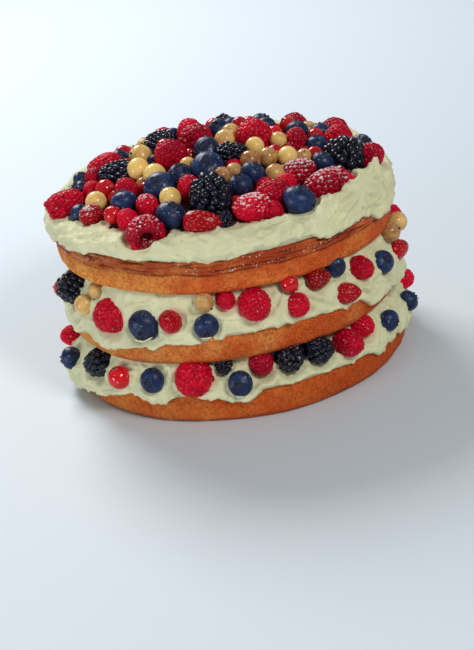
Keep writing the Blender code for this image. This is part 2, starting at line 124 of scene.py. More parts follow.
def throughRings(control, counts):
    # a smooth run of rings through the control rings, with so many rows in each span
    rows = []
    padded = np.concatenate([control[:1], control, control[-1:]])
    for span, count in enumerate(counts):
        a, b, c, d = padded[span:span + 4]
        for i in range(count):
            t = i / count
            rows.append(0.5 * (2 * b + (c - a) * t + (2 * a - 5 * b + 4 * c - d) * t * t
                               + (3 * b - a - 3 * c + d) * t ** 3))
    rows.append(control[-1])
    return np.array(rows)


def gridNormals(grid):
    sideways = np.roll(grid, -1, 1) - np.roll(grid, 1, 1)
    upward = np.gradient(grid, axis=0)
    normal = np.cross(sideways, upward)
    return normal / np.maximum(np.linalg.norm(normal, axis=-1, keepdims=True), 1e-9)


def closedFaces(rows, steps):
    # quads between the rings and a fan at each pole
    turns = [(i, (i + 1) % steps) for i in range(steps)]
    faces = [(row * steps + i, row * steps + j, (row + 1) * steps + j, (row + 1) * steps + i)
             for row in range(rows - 1) for i, j in turns]
    last = (rows - 1) * steps
    for i, j in turns:
        faces += [(rows * steps, j, i), (rows * steps + 1, last + i, last + j)]
    return faces


def meshPiece(name, points, faces, materials, values=None, skins=None):
    # points in millimetres; values are per-point attributes, skins the faces' material numbers
    mesh = bpy.data.meshes.new(name)
    mesh.from_pydata((np.asarray(points) * mm).tolist(), [], faces)
    for key, value in (values or {}).items():
        value = np.asarray(value, np.float32)
        wide = value.ndim == 2
        layer = mesh.attributes.new(key, "FLOAT_VECTOR" if wide else "FLOAT", "POINT")
        layer.data.foreach_set("vector" if wide else "value", value.ravel())
    for material in materials:
        mesh.materials.append(material)
    if skins is not None:
        mesh.polygons.foreach_set("material_index", np.asarray(skins, np.int32))
    mesh.shade_smooth()
    mesh.update()
    piece = bpy.data.objects.new(name, mesh)
    bpy.context.scene.collection.objects.link(piece)
    return piece


def finishPiece(piece, slotName, *nodeNames):
    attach(piece, "root")
    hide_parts(*nodeNames)


noiseInputs = ("Vector", "Scale", "Detail", "Roughness", "Distortion")
rangeInputs = ("Value", "From Min", "From Max", "To Min", "To Max")


def spongeCrumb(name, look):
    # baked genoise: a dry open crumb with a brown baked skin, so matt and mottled, with painted shade
    # darkening its pores
    material, tree, shader = newMaterial(name, {})
    place = addNode(tree, "TexCoord").outputs["Object"]
    axes = addNode(tree, "SeparateXYZ", {"Vector": place})
    crust, crackShade = [addNode(tree, "Attribute", attribute_name=key).outputs["Fac"]
                    for key in ("crust", "crackShade")]
    # patches of the bake 22 mm across, mottling of 2 mm, a grain of 0.6 mm, and places where pores crowd
    patches, mottle, grain, crowd = addRows(tree, "TexNoise", noiseInputs, (
        (place, 45.0, 5.0, 0.6), (place, 480.0, 5.0, 0.7), (place, 1600.0, 2.0), (place, 150.0, 3.0)))
    # the side towards +X is painted browner, as painted shade away from the light and partly an uneven bake,
    # and the crust is glossier than the crumb
    sideShadeAndBake, uneven, dark, pale, crustPatch, poreSize, gloss, shine = addRows(
        tree, "MapRange", rangeInputs, (
            (axes.outputs["X"], -0.1, 0.05, -0.3, 0.6), (patches, 0.34, 0.66, 0.0, 0.9),
            (mottle, 0.43, 0.66, 0.0, 0.8), (grain, 0.5, 0.7, 0.0, 0.55), (patches, 0.36, 0.56, 0.25, 1.0),
            (crowd, 0.42, 0.7, 0.1, 0.44), (crust, 0.0, 1.0, 0.8, 0.33), (crust, 0.0, 1.0, 0.12, 0.2)))
    browningAndShade = addNode(tree, "Math", {0: sideShadeAndBake, 1: uneven}, operation="ADD", use_clamp=True)
    crustShare = addNode(tree, "Math", {0: crust, 1: crustPatch}, operation="MULTIPLY")
    # pores 1.6 mm apart, of differing size, painted darker inside as painted shade
    poreShadeAmount = addNode(tree, "TexVoronoi", {"Vector": place, "Scale": 620.0})
    poreMask = addNode(tree, "Math", {0: poreShadeAmount, 1: poreSize}, operation="LESS_THAN")
    poreShade = addNode(tree, "Math", {0: poreMask, 1: look["poreShadeAmount"]}, operation="MULTIPLY")
    colour = linear(look["gold"])
    for share, code in ((browningAndShade, look["brown"]), (dark, look["deep"]), (pale, look["gold"]),
                        (crustShare, look["crust"]), (poreShade, look["poreShadeColour"]), (crackShade, look["crackShade"])):
        colour = addNode(tree, "Mix", {0: share, 6: colour, 7: linear(code)}, data_type="RGBA")
    rough = addNode(tree, "Math", {0: grain, 1: 0.6, 2: mottle}, operation="MULTIPLY_ADD")
    height = addNode(tree, "Math", {0: poreMask, 1: -0.7, 2: rough}, operation="MULTIPLY_ADD")
    bump = addNode(tree, "Bump", {"Height": height, "Strength": 0.85, "Distance": 0.0009})
    fillInputs(shader, {"Base Color": colour, "Roughness": gloss, "Specular IOR Level": shine,
                        "Normal": bump})
    return material


def whippedVanillaCream():
    # whipped cream with vanilla seeds: fat and air scatter the light, so it is soft, pale and satin
    material, tree, shader = newMaterial("whippedVanillaCream", {
        "Roughness": 0.6, "Subsurface Weight": 0.12, "Subsurface Radius": (1.0, 0.85, 0.55),
        "Subsurface Scale": 0.002, "Specular IOR Level": 0.12})
    place = addNode(tree, "TexCoord").outputs["Object"]
    juice = addNode(tree, "Attribute", attribute_name="juice").outputs["Fac"]
    clouds, fine = addRows(tree, "TexNoise", noiseInputs, ((place, 70.0, 3.0), (place, 420.0, 3.0)))
    # vanilla seeds of 0.3 mm, 5 mm apart, drawn at 0.5 mm so that they show
    seeds = addNode(tree, "TexVoronoi", {"Vector": place, "Scale": 230.0})
    seedMask = addNode(tree, "Math", {0: seeds, 1: 0.092}, operation="LESS_THAN")
    seedShare = addNode(tree, "Math", {0: seedMask, 1: 0.55}, operation="MULTIPLY")
    colour = linear("CBCA9C")
    for share, code in ((clouds, "E4E4C0"), (seedShare, "4B4630"), (juice, "D5808C")):
        colour = addNode(tree, "Mix", {0: share, 6: colour, 7: linear(code)}, data_type="RGBA")
    bump = addNode(tree, "Bump", {"Height": fine, "Strength": 0.35, "Distance": 0.0006})
    fillInputs(shader, {"Base Color": colour, "Normal": bump})
    return material


def berrySkin(name, look, values):
    # a soft fruit's skin: its colour varies from berry to berry, the clefts between drupelets
    # are painted darker as painted shade, and icing sugar lies on what faces up
    material, tree, shader = newMaterial(name, values)
    place = addNode(tree, "TexCoord").outputs["Object"]
    normal = addNode(tree, "NewGeometry").outputs["Normal"]
    upward = addNode(tree, "SeparateXYZ", {"Vector": normal}).outputs["Z"]
    shade, dome, sugar = [addNode(tree, "Attribute", attribute_name=key).outputs["Fac"]
                          for key in ("shade", "dome", "sugar")]
    # blotches of the skin, its bloom, and icing sugar in clots of under 1 mm
    blotch, bloom, clots = addRows(tree, "TexNoise", noiseInputs, (
        (place, look["blotchScale"], 3.0), (place, 260.0, 4.0, 0.6), (place, 680.0, 2.0, 0.7, 0.6)))
    mixed = addNode(tree, "Math", {0: shade, 1: blotch}, operation="ADD")
    # the clefts between drupelets take the deep colour: painted shade
    spread, cleftShade, bloomShare, facingUp = addRows(tree, "MapRange", rangeInputs, (
        (mixed, 0.45, 1.35), (dome, *look["cleftShade"], 1.0, 0.0), (bloom, 0.35, 0.68, 0.0, look["bloomShare"]),
        (upward, 0.25, 0.9)))
    lying = addNode(tree, "Math", {0: facingUp, 1: sugar}, operation="MULTIPLY")
    reach = addNode(tree, "Math", {0: lying, 1: 0.42, 2: clots}, operation="MULTIPLY_ADD")
    dust, gloss = addRows(tree, "MapRange", rangeInputs, (
        (reach, 0.68, 0.74, 0.0, 0.75), (bloomShare, 0.0, 1.0, *look["roughness"])))
    dull = addNode(tree, "Math", {0: gloss, 1: dust}, operation="MAXIMUM")
    colour = linear(look["dark"])
    for share, code in ((spread, look["light"]), (cleftShade, look["deep"]), (bloomShare, look["bloom"]),
                        (dust, "F4EEF2")):
        colour = addNode(tree, "Mix", {0: share, 6: colour, 7: linear(code)}, data_type="RGBA")
    bump = addNode(tree, "Bump", {"Height": bloom, "Strength": look["bump"], "Distance": 0.0003})
    fillInputs(shader, {"Base Color": colour, "Roughness": dull, "Normal": bump})
    return material


def plainPart(name, code, codeDark, values, scale):
    # a small dry part of a fruit in two mixed shades
    material, tree, shader = newMaterial(name, values)
    place = addNode(tree, "TexCoord").outputs["Object"]
    grain = addNode(tree, "TexNoise", {"Vector": place, "Scale": scale, "Detail": 3.0})
    colour = addNode(tree, "Mix", {0: grain, 6: linear(codeDark), 7: linear(code)}, data_type="RGBA")
    fillInputs(shader, {"Base Color": colour})
    return material


# Sponges: colours of the crumb and crust, and how dark the painted shade in the pores is
spongeLooks = {
    "bottom": {"gold": "D67F38", "brown": "C8501E", "deep": "943A14", "crust": "80300E", "poreShadeAmount": 0.32},
    "middle": {"gold": "E4A454", "brown": "CC4A1A", "deep": "9C3E14", "crust": "A04210", "poreShadeAmount": 0.28},
    "top": {"gold": "F4AC50", "brown": "D85424", "deep": "A24218", "crust": "A23A10", "poreShadeAmount": 0.28},
}
# dark colours of painted shade in the pores and in the cracks
spongeSkins = {layer: spongeCrumb(f"bakedSponge_{layer}", {**look, "poreShadeColour": "622C12", "crackShade": "3E1206"})
               for layer, look in spongeLooks.items()}
creamSkin = whippedVanillaCream()

# Berry skins: the ends of the colour, the painted shade of the clefts, the bloom, then how the flesh lets
# light through
lookColumns = ("dark", "light", "deep", "bloom", "cleftShade", "bloomShare", "roughness", "bump", "blotchScale")
fleshColumns = ("Specular IOR Level", "Subsurface Weight", "Subsurface Radius", "Subsurface Scale")
berryLooks = {
    "raspberry": (("8C001C", "DC062C", "7E0016", "D8304E", (0.0, 0.24), 0.08, (0.3, 0.42), 0.15, 150.0),
                  (0.11, 0.4, (1.0, 0.08, 0.1), 0.002)),
    "bramble": (("060711", "10142A", "020205", "2A2F52", (0.05, 0.5), 0.15, (0.2, 0.3), 0.12, 120.0),
                (0.35,)),
    "blueberry": (("060C20", "102046", "0A1028", "40629A", (-0.9, -0.5), 0.3, (0.36, 0.6), 0.15, 150.0),
                  (0.25,)),
    "redcurrant": (("98000E", "D20A1A", "B00814", "E8484A", (-0.9, -0.5), 0.15, (0.1, 0.2), 0.05, 120.0),
                   (0.4, 0.5, (1.0, 0.2, 0.15), 0.003)),
    "whitecurrant": (("985A2C", "EECC7C", "C99A55", "F4E2B0", (-0.9, -0.5), 0.2, (0.14, 0.26), 0.1, 190.0),
                     (0.3, 0.75, (1.0, 0.6, 0.2), 0.005)),
    "strawberry": (("860012", "BE0020", "A80A18", "C83A34", (-0.9, -0.5), 0.08, (0.2, 0.34), 0.2, 110.0),
                   (0.16, 0.3, (1.0, 0.1, 0.1), 0.0015)),
}
skins = {kind: berrySkin(f"{kind}Skin", dict(zip(lookColumns, look)), dict(zip(fleshColumns, flesh)))
         for kind, (look, flesh) in berryLooks.items()}
# Dry parts: the seeds outside a strawberry, the withered flower at a currant's end, a blueberry's crown
seedSkin = plainPart("strawberrySeed", "C88A48", "945028", {"Roughness": 0.45}, 800.0)
flowerSkin = plainPart("driedFlower", "6B4426", "33200F", {"Roughness": 0.85}, 900.0)
crownSkin = plainPart("blueberryCrown", "1E2A4C", "080C1C", {"Roughness": 0.7}, 700.0)
# a dark red-black for the mass under the heap: painted shade between the berries
heapGapShadeSkin = plainPart("heapGapShade", "5A0A1C", "26050F", {"Roughness": 0.6, "Specular IOR Level": 0.2}, 160.0)
# Clear white sugar crystals, and the paler inside of the sponge
sugarSkin = plainPart("sugarCrystals", "FFFFFF", "F4EFE8", {"Roughness": 0.15}, 900.0)
crumbSkin = plainPart("looseCrumb", "DDA05C", "B4692E", {"Roughness": 0.85}, 500.0)
print("materials made")


def newTree(name, inputs, output):
    # a Geometry Nodes tree with its named inputs and one output
    tree = bpy.data.node_groups.new(name, "GeometryNodeTree")
    for label, kind in inputs.items():
        tree.interface.new_socket(label, in_out="INPUT", socket_type=f"NodeSocket{kind}")
    tree.interface.new_socket(output, in_out="OUTPUT", socket_type="NodeSocketGeometry")
    return tree, addNode(tree, "GroupInput").outputs


def growOn(piece, tree, inputs):
    # runs a tree on a piece and leaves the result as its plain mesh
    modifier = piece.modifiers.new("grown", "NODES")
    modifier.node_group = tree
    keys = {item.name: item.identifier for item in tree.interface.items_tree if item.in_out == "INPUT"}
    for name, value in inputs.items():
        modifier[keys[name]] = value
    bpy.context.view_layer.update()
    plain = bpy.data.meshes.new_from_object(piece.evaluated_get(bpy.context.evaluated_depsgraph_get()))
    piece.modifiers.remove(modifier)
    piece.data = plain


spongeShapes = {
    "bottom": {"base": 0.0, "top": 20.5, "lean": 0.0, "uphill": 0, "wave": 0.0},
    "middle": {"base": 33.6, "top": 52.2, "lean": 3.5, "uphill": 12, "wave": 2.1},
    "top": {"base": 76.8, "top": 101.0, "lean": 2.9, "uphill": -90, "wave": 4.0},
}
spongeSetup = {
    "radius": 97.5, "steps": 720, "rough": 0.4,
    # rings up the side: how far in, and how far above the base or below the top; rows between them
    "plain": (((3.0, 0.0), (0.9, 3.0), (0.0, 12.0), (1.0, -3.0), (5.0, 0.0)), (6, 14, 14, 8)),
    "risen": (((3.6, 0.0), (1.2, 3.0), (0.7, 15.0), (-0.2, -6.0), (0.9, -2.5), (5.0, 0.0)),
              (6, 22, 8, 10, 9)),
    # rings of the flat faces under and over the sides
    "under": (20.0, 60.0, 88.0), "over": (86.0, 55.0, 20.0),
    # lining paper leaves a few upright creases
    "creases": (-24.0, 9.0, 31.0, 33.5, 58.0, 104.0, 187.0, 251.0), "creaseDepth": 0.35, "creaseWidth": 0.35,
    # upright folds of the top sponge: bearing, width in degrees and depth, their lean and middle height
    "folds": ((-18.0, 0.9, 1.3), (-20.5, 0.5, 0.6), (68.0, 0.8, 0.9), (170.0, 0.9, 1.0)),
    "foldLean": 0.04, "foldMiddle": 88,
    # where the crust parts from the crumb, and the tear there; height share, depth and width of its cracks
    "split": 0.5, "tearDepth": 1.2, "tearWidth": 0.026,
    "cracks": ((0.6, 1.6, 0.024), (0.69, 1.9, 0.028), (0.78, 1.8, 0.028), (0.87, 1.4, 0.024)),
}


def spongeLevel(shape, side, bearing, radius):
    slope = shape["lean"] * radius / spongeSetup["radius"]
    return shape[side] + slope * np.cos(np.radians(bearing - shape["uphill"]))


def spongeRadius(shape, bearing):
    turn, wave = np.radians(bearing), shape["wave"]
    return (spongeSetup["radius"] + 0.7 * np.sin(2 * turn + wave) + 0.5 * np.sin(5 * turn + 2 * wave)
            + 0.3 * np.sin(9 * turn + wave))


def tornCrust(grid, share, ring, wave):
    # the risen crust overhangs the crumb, with torn cracks under it and across it
    setup = spongeSetup
    wander = noiseAt(ring, 26.0, 3.0 + wave) + 0.5 * noiseAt(ring, 8.0, 9.0)
    split = setup["split"] + 0.06 * wander
    # the foot of the top sponge is darker too: partly a baked edge, partly painted shade over the cream
    # below
    crust = np.maximum(smoothStep(split - 0.03, split + 0.04, share), smoothStep(0.08, 0.0, share) * 0.5)
    crust = np.maximum(crust, 0.3 * smoothStep(0.05, 0.45, share))
    torn = 0.3 + 0.7 * smoothStep(-0.3, 0.3, noiseAt(ring, 11.0, 2.0))
    tear = torn * np.exp(-((share - split) / setup["tearWidth"]) ** 2)
    # the tear and the cracks are painted dark: painted shade inside them
    crackShade = 0.7 * tear
    relief = 0.8 * smoothStep(split - 0.02, split + 0.05, share) - setup["tearDepth"] * tear
    for order, (level, depth, width) in enumerate(setup["cracks"]):
        line = level + 0.05 * noiseAt(ring, 17.0 + 4 * order, 6.0 + order)
        parted = smoothStep(-0.1, 0.25, noiseAt(ring, 21.0, 12.0 + 5 * order))
        gape = parted * np.exp(-((share - line) / width) ** 2)
        lifted = smoothStep(line + 0.01, line + 0.03, share) * smoothStep(line + 0.1, line + 0.04, share)
        relief += 0.7 * parted * lifted - depth * gape
        crackShade = np.maximum(crackShade, 0.85 * gape ** 2)
    relief += noiseAt(grid, 12.0, 7.0, 0.15) * smoothStep(split, split + 0.06, share)
    return crust, crackShade, relief, split


def buildSponge(layer):
    shape, setup, isTop = spongeShapes[layer], spongeSetup, layer == "top"
    steps, wave = setup["steps"], shape["wave"]
    bearing = roundTheCake(steps)
    edge, spans = setup["risen" if isTop else "plain"]
    control = []
    for order, (inset, rise) in enumerate(edge):
        side = "top" if rise < 0 or order == len(edge) - 1 else "base"
        radius = spongeRadius(shape, bearing) - inset
        control.append(at(bearing, radius, spongeLevel(shape, side, bearing, radius) + rise))
    grid = throughRings(np.array(control), spans)
    share = (grid[..., 2] - spongeLevel(shape, "base", bearing, 97)) / (shape["top"] - shape["base"])
    relief = setup["rough"] * (noiseAt(grid, 7.0, 1.0 + wave) + 0.5 * noiseAt(grid, 2.4, 5.0))
    relief += 0.1 * noiseAt(grid, 1.6, 4.0, 5.0)
    for crease in setup["creases"]:
        turned = turnFrom(crease + 3 * wave, bearing)
        relief -= setup["creaseDepth"] * np.exp(-(turned / setup["creaseWidth"]) ** 2)
    if isTop:
        for middle, width, depth in setup["folds"]:
            turned = turnFrom(middle + setup["foldLean"] * (grid[..., 2] - setup["foldMiddle"]), bearing)
            relief -= depth * np.exp(-(turned / width) ** 2)
        crust, crackShade, risen, split = tornCrust(grid, share, at(bearing, 97.0, 0.0), wave)
        relief += risen
    else:
        # the upper and lower edges are painted darker: partly a browner baked edge, partly painted shade
        # where the cream meets them
        crust = smoothStep(0.82, 1.0, share) * 0.8 + smoothStep(0.2, 0.0, share) * 0.7
        crackShade = np.zeros_like(share)
    fade = smoothStep(0.0, 0.06, share) * 0.85 + 0.15
    grid = grid + gridNormals(grid) * (relief * fade)[..., None]
    grid[0, :, 2] = control[0][:, 2]
    if layer == "bottom":
        grid[..., 2] = np.maximum(grid[..., 2], 0.0)
    under, over = [
        [at(bearing, radius, spongeLevel(shape, side, bearing, radius)) for radius in setup[rings]]
        for side, rings in (("base", "under"), ("top", "over"))]
    whole = np.concatenate([under, grid, over])
    points = np.concatenate([whole.reshape(-1, 3), [(0, 0, shape["base"]), (0, 0, shape["top"])]])
    crustWhole = np.concatenate([np.full((3, steps), 0.4), crust, np.ones((3, steps))]).ravel()
    piece = meshPiece(f"sponge_{layer}_baked", points, closedFaces(len(whole), steps), [spongeSkins[layer]],
                      {"crust": np.append(crustWhole, (0.4, 1.0)),
                       "crackShade": np.pad(crackShade.ravel(), (3 * steps, 3 * steps + 2))})
    # where grains lie: patches of sugar on the top crust, loose crumb on the cut sides
    sown = smoothStep(0.0, 0.4, noiseAt(grid, 9.0, 31.0))
    if isTop:
        patch = smoothStep(0.02, 0.3, noiseAt(grid, 10.0, 20.0, 0.3))
        sown = crust * smoothStep(split, split + 0.05, share) * patch
    sown[:2], sown[-4:] = 0, 0
    sowGrains(layer, grid, sown)
    finishPiece(piece, f"sponge_{layer}", f"sponge_{layer}")


def grainTree():
    # scatters small uneven grains on a surface, as thick as its "sown" attribute says
    tree, given = newTree("grainTree", {
        "Surface": "Geometry", "Per Square Metre": "Float", "Smallest": "Float", "Largest": "Float",
        "Seed": "Int", "Grain Skin": "Material"}, "Grains")
    seed = given["Seed"]
    sown = addNode(tree, "InputNamedAttribute", {"Name": "sown"}, data_type="FLOAT")
    thick = addNode(tree, "Math", {0: given["Per Square Metre"], 1: sown}, operation="MULTIPLY")
    spots = addNode(tree, "DistributePointsOnFaces",
                    {"Mesh": given["Surface"], "Density": thick, "Seed": seed})
    grain = addNode(tree, "MeshIcoSphere", {"Radius": 0.5, "Subdivisions": 1})
    turn = addNode(tree, "RandomValue", {"Max": (6.3, 6.3, 6.3), "Seed": seed},
                   data_type="FLOAT_VECTOR")
    size = addNode(tree, "RandomValue",
                   {"Min": given["Smallest"], "Max": given["Largest"], "Seed": seed}, data_type="FLOAT")
    shape = addNode(tree, "VectorMath", {0: (1.0, 0.8, 0.6), "Scale": size}, operation="SCALE")
    grains = addNode(tree, "InstanceOnPoints",
                     {"Points": spots, "Instance": grain, "Rotation": turn, "Scale": shape})
    real = addNode(tree, "RealizeInstances", {"Geometry": grains})
    dressed = addNode(tree, "SetMaterial", {"Geometry": real, "Material": given["Grain Skin"]})
    addNode(tree, "GroupOutput", {0: dressed})
    return tree


def sowGrains(layer, grid, sown):
    setup = grainSetup["top" if layer == "top" else "sides"]
    rows, steps = sown.shape
    bands = closedFaces(rows, steps)[:(rows - 1) * steps]
    piece = meshPiece(f"sponge_{layer}_{setup['name']}", grid.reshape(-1, 3), bands, [setup["skin"]],
                      {"sown": sown.ravel()})
    growOn(piece, grainNodes, {
        "Per Square Metre": setup["thick"], "Smallest": setup["sizes"][0] * mm,
        "Largest": setup["sizes"][1] * mm, "Seed": setup["seed"], "Grain Skin": setup["skin"]})
    print(piece.name, len(piece.data.polygons), "faces")
    finishPiece(piece, f"sponge_{layer}", f"sponge_{layer}")


grainNodes = grainTree()
grainSetup = {
    # crystals of sugar left on the crust, and crumb rubbed loose on the sides
    "top": {"name": "sugar", "thick": 170000.0, "sizes": (0.3, 0.9), "seed": 3, "skin": sugarSkin},
    "sides": {"name": "crumbs", "thick": 12000.0, "sizes": (0.4, 1.0), "seed": 5, "skin": crumbSkin},
}
for layer in spongeShapes:
    buildSponge(layer)
print("sponges made")


# by kind: number, bearing, height, distance of the middle from the axis, width, length, turn of the tip
fillingFruit = {
    "bottom": {
        "raspberry": (
            (1, -89, 26.5, 100, 13, 13), (6, -18, 28.5, 98.8, 21.5, 19), (9, 4.8, 31, 93.3, 14.5, 15),
            (12, 36, 28.5, 99.3, 15.5, 18), (13, 46, 31, 93.8, 14, 15), (16, 93, 25.5, 100, 13.5, 14),
            (18, 136, 26.5, 98.8, 13, 15), (22, 226, 26.5, 98.8, 13, 15)),
        "blueberry": (
            (2, -77, 21.5, 103, 14, 12.5), (5, -32.5, 27, 98.8, 14.5, 13),
            (8, -3, 24.5, 100.3, 14.5, 13), (14, 58, 26, 98.8, 12.5, 11.5),
            (15, 79, 21.5, 101, 12.5, 11.5), (19, 159, 25, 100.3, 12.5, 12),
            (23, 249, 26.5, 99.8, 13, 12)),
        "bramble": (
            (3, -60, 27, 95.8, 17, 18), (7, -8, 32.5, 92.8, 10, 11), (10, 14.8, 30.5, 93.8, 16.2, 18),
            (11, 25.2, 30.5, 94.8, 16.2, 18), (20, 181, 26, 97.8, 13, 17)),
        "redcurrant": (
            (4, -46, 25.5, 99.8, 13.5, 13.5), (21, 203, 25.5, 99.8, 11.5, 11.5)),
        "whitecurrant": (
            (17, 115, 26.5, 98.8, 11.5, 11.5),),
    },
    "middle": {
        "raspberry": (
            (5, -46.5, 62.5, 96.8, 21, 22), (10, -3.7, 71.5, 91.8, 11.5, 13),
            (11, 5.5, 67.5, 97.8, 18, 19), (13, 19.5, 61.5, 97.8, 13.5, 14),
            (17, 47, 66.5, 97.8, 13.5, 15), (22, 100, 62, 97.8, 17, 18), (27, 192, 61, 97.8, 18, 19),
            (30, 248, 63, 97.8, 17, 18)),
        "blueberry": (
            (6, -32, 60.5, 97.8, 18.5, 16.5), (8, -11, 59.5, 96.8, 14.5, 13.5),
            (15, 37.5, 73, 92.8, 12, 11), (18, 59.5, 61, 97.8, 14, 13), (23, 118, 60, 97.8, 15, 13.5),
            (28, 211, 64, 97.8, 15, 13.5)),
        "bramble": (
            (2, -73, 67, 93.8, 21, 22), (25, 155, 62, 95.8, 19, 20)),
        "redcurrant": (
            (1, -92, 55, 99, 12.5, 12.5), (12, 18.2, 74, 94.8, 10, 10), (29, 229, 60, 99.8, 13, 13)),
        "whitecurrant": (
            (3, -59, 65, 98.8, 12, 12), (4, -54.5, 74, 93.8, 10, 10), (9, -10.5, 73.5, 96.8, 11, 11),
            (19, 71, 71, 97.8, 12, 12), (21, 84, 68, 99.8, 12, 12), (26, 174, 64, 98.8, 12, 12)),
        "strawberry": (
            (7, -22, 63.5, 99.8, 13, 15, 20), (14, 29, 71.5, 94.8, 12, 15, 80),
            (16, 38, 58, 98.8, 12.5, 16, 40), (20, 75, 57.5, 99.8, 11.5, 17, 60),
            (24, 136, 64, 97.8, 14, 16)),
    },
}
# by kind: number, x, y, width and, where its length shows, its length and its tip's bearing and lift
heapFruit = {
    "raspberry": (
        (0, -87, -14, 17, 23, 100, 20), (3, -69, 2, 13), (4, -62, 15, 16, 20, 120, 20),
        (12, -51, -32, 13), (13, -52, -60, 12), (14, -43, -76, 21, 20, 185, 8),
        (15, -40, -55, 13, 14, -10, 60), (21, -24, -10, 19, 20, -20, 50), (23, -8, 5, 20, 20, 30, 40),
        (25, -16, -51, 14), (31, 15, -76, 17, 21, -60, 10), (32, 28, -65, 14, 19, -70, 5),
        (33, 58, -57, 17.5, 26, -75, 0), (44, 46, -45, 15, 19, 80, 20), (50, 25, -1, 21.5, 21, 20, 60),
        (52, 48, -5, 14), (54, 50, 46, 18, 19, 20, 60), (57, 73, 33, 18, 18, 60, 50),
        (60, 88, -20, 16, 16, 100, 20), (61, 37, -57, 12)),
    "blueberry": (
        (1, -78, 18, 10), (2, -79, 0, 11), (5, -54, 23, 10.5), (11, -53, -44, 15), (16, -32, -44, 18.5),
        (22, -17, 48, 9.5), (24, -4, -37, 19.5), (26, -20, -37, 14), (28, -28, -70, 17),
        (34, 42, -72, 18.5), (35, 12, -57, 14), (36, 20, -47, 14), (46, 13, 44, 12), (53, 50, 12, 14),
        (55, 59, -10, 13), (59, 86, 8, 13), (62, 60, -32, 13), (63, -22, 33, 11)),
    "bramble": (
        (6, -55, -8, 16, 22, -90, 10), (20, -29, 20, 14, 18, -90, 10), (29, -5, -64, 25.5, 29, 10, 70),
        (45, 9, 54, 16.5), (47, 11, -25, 14, 19, 90, 0), (58, 72, -25, 26, 27, 60, 60)),
    "redcurrant": (
        (7, -63, -21, 11.5), (10, -60, -51, 10.5), (56, 60, 5, 10), (64, -39, 43, 10)),
    "whitecurrant": (
        (8, -69, -30, 12.5), (17, -34, -29, 13), (18, -43, -14, 13), (19, -41, 4, 14),
        (27, -27, -56, 12.5), (37, 10, -44, 10), (38, 3, -47, 10.5), (39, 20, -34, 12),
        (40, 30, -31, 11.5), (41, 41, -30, 12), (42, 32, -48, 11), (43, 50, -28, 9), (48, 8, -3, 12),
        (49, 12, 9, 11), (51, 38, -8, 10), (65, -39, 30, 9)),
    "strawberry": (
        (9, -73, -41, 13, 15, -40, 10), (30, -11, -81, 13, 22, 80, -5)),
}
heapSetup = {
    "radius": 90.0, "rim": 110.0, "rise": 22.0, "back": 18.0, "fall": 0.004,
    "spiral": 137.5, "tries": 500, "reach": 86.0, "drawnIn": 0.28, "seed": 7,
    # depth below the dome, nearness allowed, start of the spiral, reach, and the kinds that fill each pass
    "passes": (
        (0.0, 0.45, 0, 86, (("raspberry", 17), ("blueberry", 15), ("whitecurrant", 12), ("bramble", 19),
                            ("raspberry", 19), ("redcurrant", 11), ("blueberry", 13), ("strawberry", 17))),
        (2.0, 0.45, 0, 86, (("blueberry", 12), ("redcurrant", 10.5), ("whitecurrant", 11),
                            ("raspberry", 12))),
        (4.5, 0.38, 40, 67, (("blueberry", 10.5), ("redcurrant", 9.5), ("raspberry", 11),
                             ("whitecurrant", 9.5), ("raspberry", 12))),
    ),
    "long": {"raspberry": 1.05, "bramble": 1.15, "strawberry": 1.2, "blueberry": 0.88,
             "redcurrant": 1.0, "whitecurrant": 1.0},
    # numbers in heapFruit with more icing sugar, and how much lies on them, the others and the rest
    "sugared": (9, 14, 15, 31, 33, 44, 59), "sugar": (0.53, 0.12, 0.1),
    # numbers in heapFruit that lie higher than the rest
    "raised": {0: 1.5, 60: 4.5, 33: 1.0, 34: 1.0, 14: 0.5},
    # berries drawn by chance whose kind shows, numbered on from heapFruit
    "shown": {86: "raspberry", 87: "raspberry", 100: "bramble"},
    # rings of the dark mass below, painted as the shade between the berries, and how deep it lies under the
    # dome
    "core": (76, 84, 78, 70, 60, 50, 40, 30, 20, 10), "coreSteps": 96, "coreFoot": 104.0, "coreDepth": 4.5,
}


def heapHeight(x, y):
    # a low dome that falls away faster at the back
    fall = heapSetup["fall"] * np.maximum(0.0, y - heapSetup["back"]) ** 2
    return heapSetup["rim"] + heapSetup["rise"] * (1 - (x * x + y * y) / heapSetup["radius"] ** 2) - fall


def heapNormal(x, y):
    slope = 2 * heapSetup["rise"] / heapSetup["radius"] ** 2
    return Vector((slope * x, slope * y, 1)).normalized()


def inOrder(table):
    # the rows of every kind, in the order of their numbers
    return sorted((row[0], kind, *row[1:]) for kind, rows in table.items() for row in rows)


